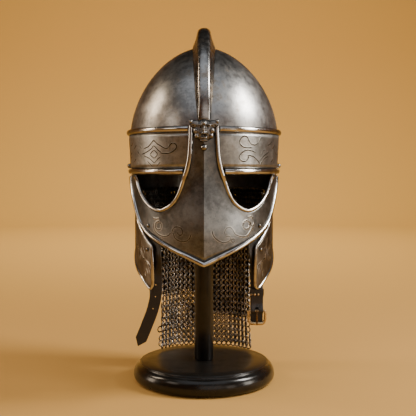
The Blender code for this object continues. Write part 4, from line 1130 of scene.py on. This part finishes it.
def makeBuckleLoop():
    base = buckle["height"]
    tail, closed = base + buckle["loopLength"], base + 11
    path = [(loopFront, mix(tail, closed, step / 8)) for step in range(9)]
    path += [(mix(loopFront, barDepth + loopBend, ease(step, 0, 8)), mix(closed, base, step / 8))
             for step in range(1, 8)]
    for step in range(17):
        angle = math.pi * step / 16
        path.append((barDepth + loopBend * math.cos(angle), base - loopBend * math.sin(angle)))
    path += [(loopBack, mix(base, tail, step / 8)) for step in range(1, 9)]

    def place(across, along):
        index = round(along * (len(path) - 1))
        depth, height = path[index]
        wide = buckle["loopWidth"] * mix(buckle["endSwell"], 1.0, ease(index, 3, 5))
        return Vector((buckle["centre"] + wide * (across - 0.5), -depth, height))

    bm = gridMesh(8, len(path) - 1, place)
    piece = addPlate("buckleLoop", "buckle_loop", bm, leather, buckle["loop"], 0.35)
    bm = bmesh.new()
    bmesh.ops.create_cube(bm, size=1.0)
    slot = (buckle["tongue"] + 1.8, 4 * loopBend, 2 * loopBend + 3 * buckle["loop"])
    bmesh.ops.scale(bm, vec=slot, verts=bm.verts)
    bmesh.ops.translate(bm, vec=(buckle["centre"], -barDepth, base), verts=bm.verts)
    cutAway(piece, bm)


def makeBuckle():
    half = buckle["width"] / 2
    thick = buckle["end"] / buckle["bar"]
    corners = ((0.0, 0.0, 1.0), (0.35, 0.0, 1.0), (0.70, 0.0, 1.0), (0.90, 0.0, 1.05), (0.98, 0.06, 1.1),
               (1.0, 0.20, 1.1), (0.99, 0.45, 1.15), (0.98, 0.68, 1.2), (0.90, 0.84, 1.3),
               (0.76, 0.97, 1.42), (0.60, 1.0, thick), (0.30, 1.0, thick), (0.0, 1.0, thick))
    loop = list(corners) + [(-across, down, share) for across, down, share in reversed(corners[1:-1])]
    points = [Vector((buckle["centre"] + across * half, -barDepth, buckle["height"] - down * buckle["length"]))
              for across, down, share in loop]
    shares = [share for across, down, share in loop]
    fine, radii = [], []
    for index, point in enumerate(points):
        after = (index + 1) % len(points)
        for step in range(4):
            fine.append(point.lerp(points[after], step / 4))
            radii.append(buckle["bar"] * mix(shares[index], shares[after], step / 4))
    count = len(fine)
    fine = [(fine[i - 1] + fine[i] * 2 + fine[(i + 1) % count]) / 4 for i in range(count)]
    bm = sweep(fine, 14, lambda index: radii[index], closed=True)
    addPiece("buckleFrame", bm, brass, "buckle", ("buckle_frame",), 70)

    curl = buckle["bar"] + 1.3 * gap + buckle["tongueThick"] / 2
    rest = buckle["end"] + gap + buckle["tongueThick"] / 2
    path = []
    for step in range(23):
        angle = math.radians(mix(-60, 160, step / 22))
        path.append(Vector((barDepth - curl * math.cos(angle), buckle["height"] + curl * math.sin(angle))))
    down = ((mix(curl, rest, 0.6), 0.30), (rest, 0.70), (rest, 1.0), (rest, 1.12))
    prong = [path[-1]] + [Vector((barDepth + out, buckle["height"] - buckle["length"] * share))
                          for out, share in down]
    path += smoothRun(prong, 24)[1:]

    def place(across, along):
        index = round(along * (len(path) - 1))
        depth, height = path[index]
        half = buckle["tongue"] / 2 * mix(1.0, 0.5, ease(index, len(path) - 8, len(path) - 1))
        return Vector((buckle["centre"] + half * (2 * across - 1), -depth, height))

    addPlate("buckleTongue", "buckle_tongue", gridMesh(4, len(path) - 1, place), darkBrass,
             buckle["tongueThick"], 0.3, "tongue")
    for number in (1, 2, 3):
        x = buckle["centre"] - 2.9 + buckle["pitch"] * (number - 2)
        z = buckle["height"] + buckle["loopLength"] * 0.75
        spot = (x, -loopFront - buckle["loop"] / 2, z)
        makeRivet("buckleRivet%d" % number, "buckle_rivet_%d" % number, spot, (0, -1, 0),
                  buckle["rivet"], buckle["rivet"] * 0.9, brass)


makeStraps()
makeHangers()
makeBuckleLoop()
makeBuckle()
print("leather and buckle done")


# Stand

stand = dict(radius=100.4, thick=27.0, top=90.9, bead=1.6, pole=13.3)
# The step round the flat top: how far out from the top's edge, and the height
standStep = ((-1.6, 27.0), (-1.3, 26.7), (-1.0, 25.95), (-0.6, 25.85), (-0.1, 26.15), (0.5, 26.1),
             (0.95, 25.6), (0.95, 24.7), (1.3, 24.3))


def makeStand():
    radius, thick, pole = stand["radius"], stand["thick"], stand["pole"]
    swell, widest = radius - 9, thick * 0.34
    profile = [(0.0, thick), (30.0, thick), (70.0, thick)]
    profile += [(stand["top"] + out, height) for out, height in standStep]
    for step in range(25):
        turn = math.radians(mix(68, -60, step / 24))
        tall = thick - 2 * stand["bead"] - widest if turn > 0 else widest
        profile.append((swell + (radius - swell) * math.cos(turn), widest + tall * math.sin(turn)))
    profile += [(radius - 6.6, 0.3), (radius - 7.2, 0.0), (0.0, 0.0)]
    addPiece("standBase", turnedMesh(profile, 128), lacquer, nodes=("stand_base",), sharp=50)
    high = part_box("stand_pole")[1][2] * 1000
    profile = [(0.0, high), (pole - 0.5, high), (pole, high - 0.5), (pole, 180.0), (pole, 28.6),
               (pole - 0.4, 27.6), (pole - 0.9, 27.3), (0.0, 27.3)]
    addPiece("standPole", turnedMesh(profile, 64), poleLacquer, nodes=("stand_pole",), sharp=50)
    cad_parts["stand_cap"].data.materials.clear()
    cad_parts["stand_cap"].data.materials.append(lacquer.material)


makeStand()
print("stand done")


# Floor, backdrop, lights and camera

def makeStage():
    # A round floor, a gap below the stand's foot, that curves up into the wall
    paint = Paint("floorPaint", None).finish((0.53, 0.285, 0.066), 0.9)
    flat, bend, top = 3000.0, 1200.0, 3200.0
    profile = [(0.0, 0.0), (flat / 2, 0.0), (flat, 0.0)]
    for step in range(1, 13):
        angle = math.pi / 2 * step / 12
        profile.append((flat + bend * math.sin(angle), bend * (1 - math.cos(angle))))
    profile.append((flat + bend, top))
    bm = turnedMesh([(radius, height - gap) for radius, height in profile], 96)
    bmesh.ops.reverse_faces(bm, faces=bm.faces)
    floor = newObject("studioFloor", bm)
    floor.data.shade_smooth()
    floor.data.materials.append(paint.material)


def addLight(name, place, target, size, power, colour, spread=180, inMetal=True):
    data = bpy.data.lights.new(name, "AREA")
    data.shape = "RECTANGLE"
    data.size, data.size_y = size
    data.energy = power
    data.color = colour
    data.spread = math.radians(spread)
    light = bpy.data.objects.new(name, data)
    light.location = place
    light.rotation_euler = (Vector(target) - Vector(place)).to_track_quat("-Z", "Y").to_euler()
    light.visible_camera = False
    light.visible_glossy = inMetal
    bpy.context.collection.objects.link(light)


def makeLights():
    addLight("keyLight", (1.15, -0.12, 1.15), (0, 0, 0.36), (0.40, 0.46), 20, (1.0, 0.96, 0.90), 150)
    addLight("leftLight", (-1.15, 0.16, 1.00), (0, 0, 0.36), (0.22, 0.42), 4.4, (1.0, 0.80, 0.58), 150)
    addLight("leftSoft", (-1.25, -0.85, 1.00), (0, 0, 0.36), (0.5, 0.5), 1.6, (1.0, 0.86, 0.70), 150)
    addLight("overheadLight", (0.0, -0.9, 2.0), (0, 0, 0.32), (2.6, 2.0), 7.0, (0.86, 0.92, 1.0), 120)
    addLight("rightFill", (1.75, -0.50, 0.42), (0, 0, 0.26), (0.5, 0.6), 4.8, (1.0, 0.92, 0.80), 120)
    addLight("rightFront", (1.27, -1.41, 0.36), (0, 0, 0.30), (0.5, 0.6), 0.9, (1.0, 0.90, 0.76), 120)
    addLight("leftFill", (-1.7, 0.06, 0.42), (0, 0, 0.26), (0.4, 0.6), 2.6, (1.0, 0.82, 0.62), 120)
    addLight("frontFill", (0.5, -2.4, 0.7), (0, 0, 0.28), (1.6, 1.2), 2.6, (1.0, 0.94, 0.86), 120)
    addLight("floorLight", (0.0, -0.2, 2.8), (0, 0, 0), (2.4, 2.4), 14, (1.0, 0.93, 0.80), 150, False)
    addLight("backdropLight", (0.0, 0.9, 2.6), (0, 3.3, 0.1), (1.6, 1.0), 82, (1.0, 0.96, 0.86), 110, False)
    world = bpy.data.worlds.new("studio")
    world.use_nodes = True
    glow = world.node_tree.nodes["Background"].inputs
    glow["Color"].default_value = (0.80, 0.72, 0.62, 1.0)
    glow["Strength"].default_value = 0.085
    bpy.context.scene.world = world


def makeCamera():
    # Fitted to the photo: its width, the focal length and the shift are in its pixels
    photoWidth, focal, shift, tilt = 416, 724, 4, 2.93
    data = bpy.data.cameras.new("photoCamera")
    data.sensor_width = 36.0
    data.lens = focal / photoWidth * 36
    data.shift_x = shift / photoWidth
    camera = bpy.data.objects.new("photoCamera", data)
    camera.location = (0.0, -1.028, 0.297)
    camera.rotation_euler = (math.radians(90 - tilt), 0, 0)
    bpy.context.collection.objects.link(camera)
    bpy.context.scene.camera = camera


makeStage()
makeLights()
makeCamera()
print("stage done")
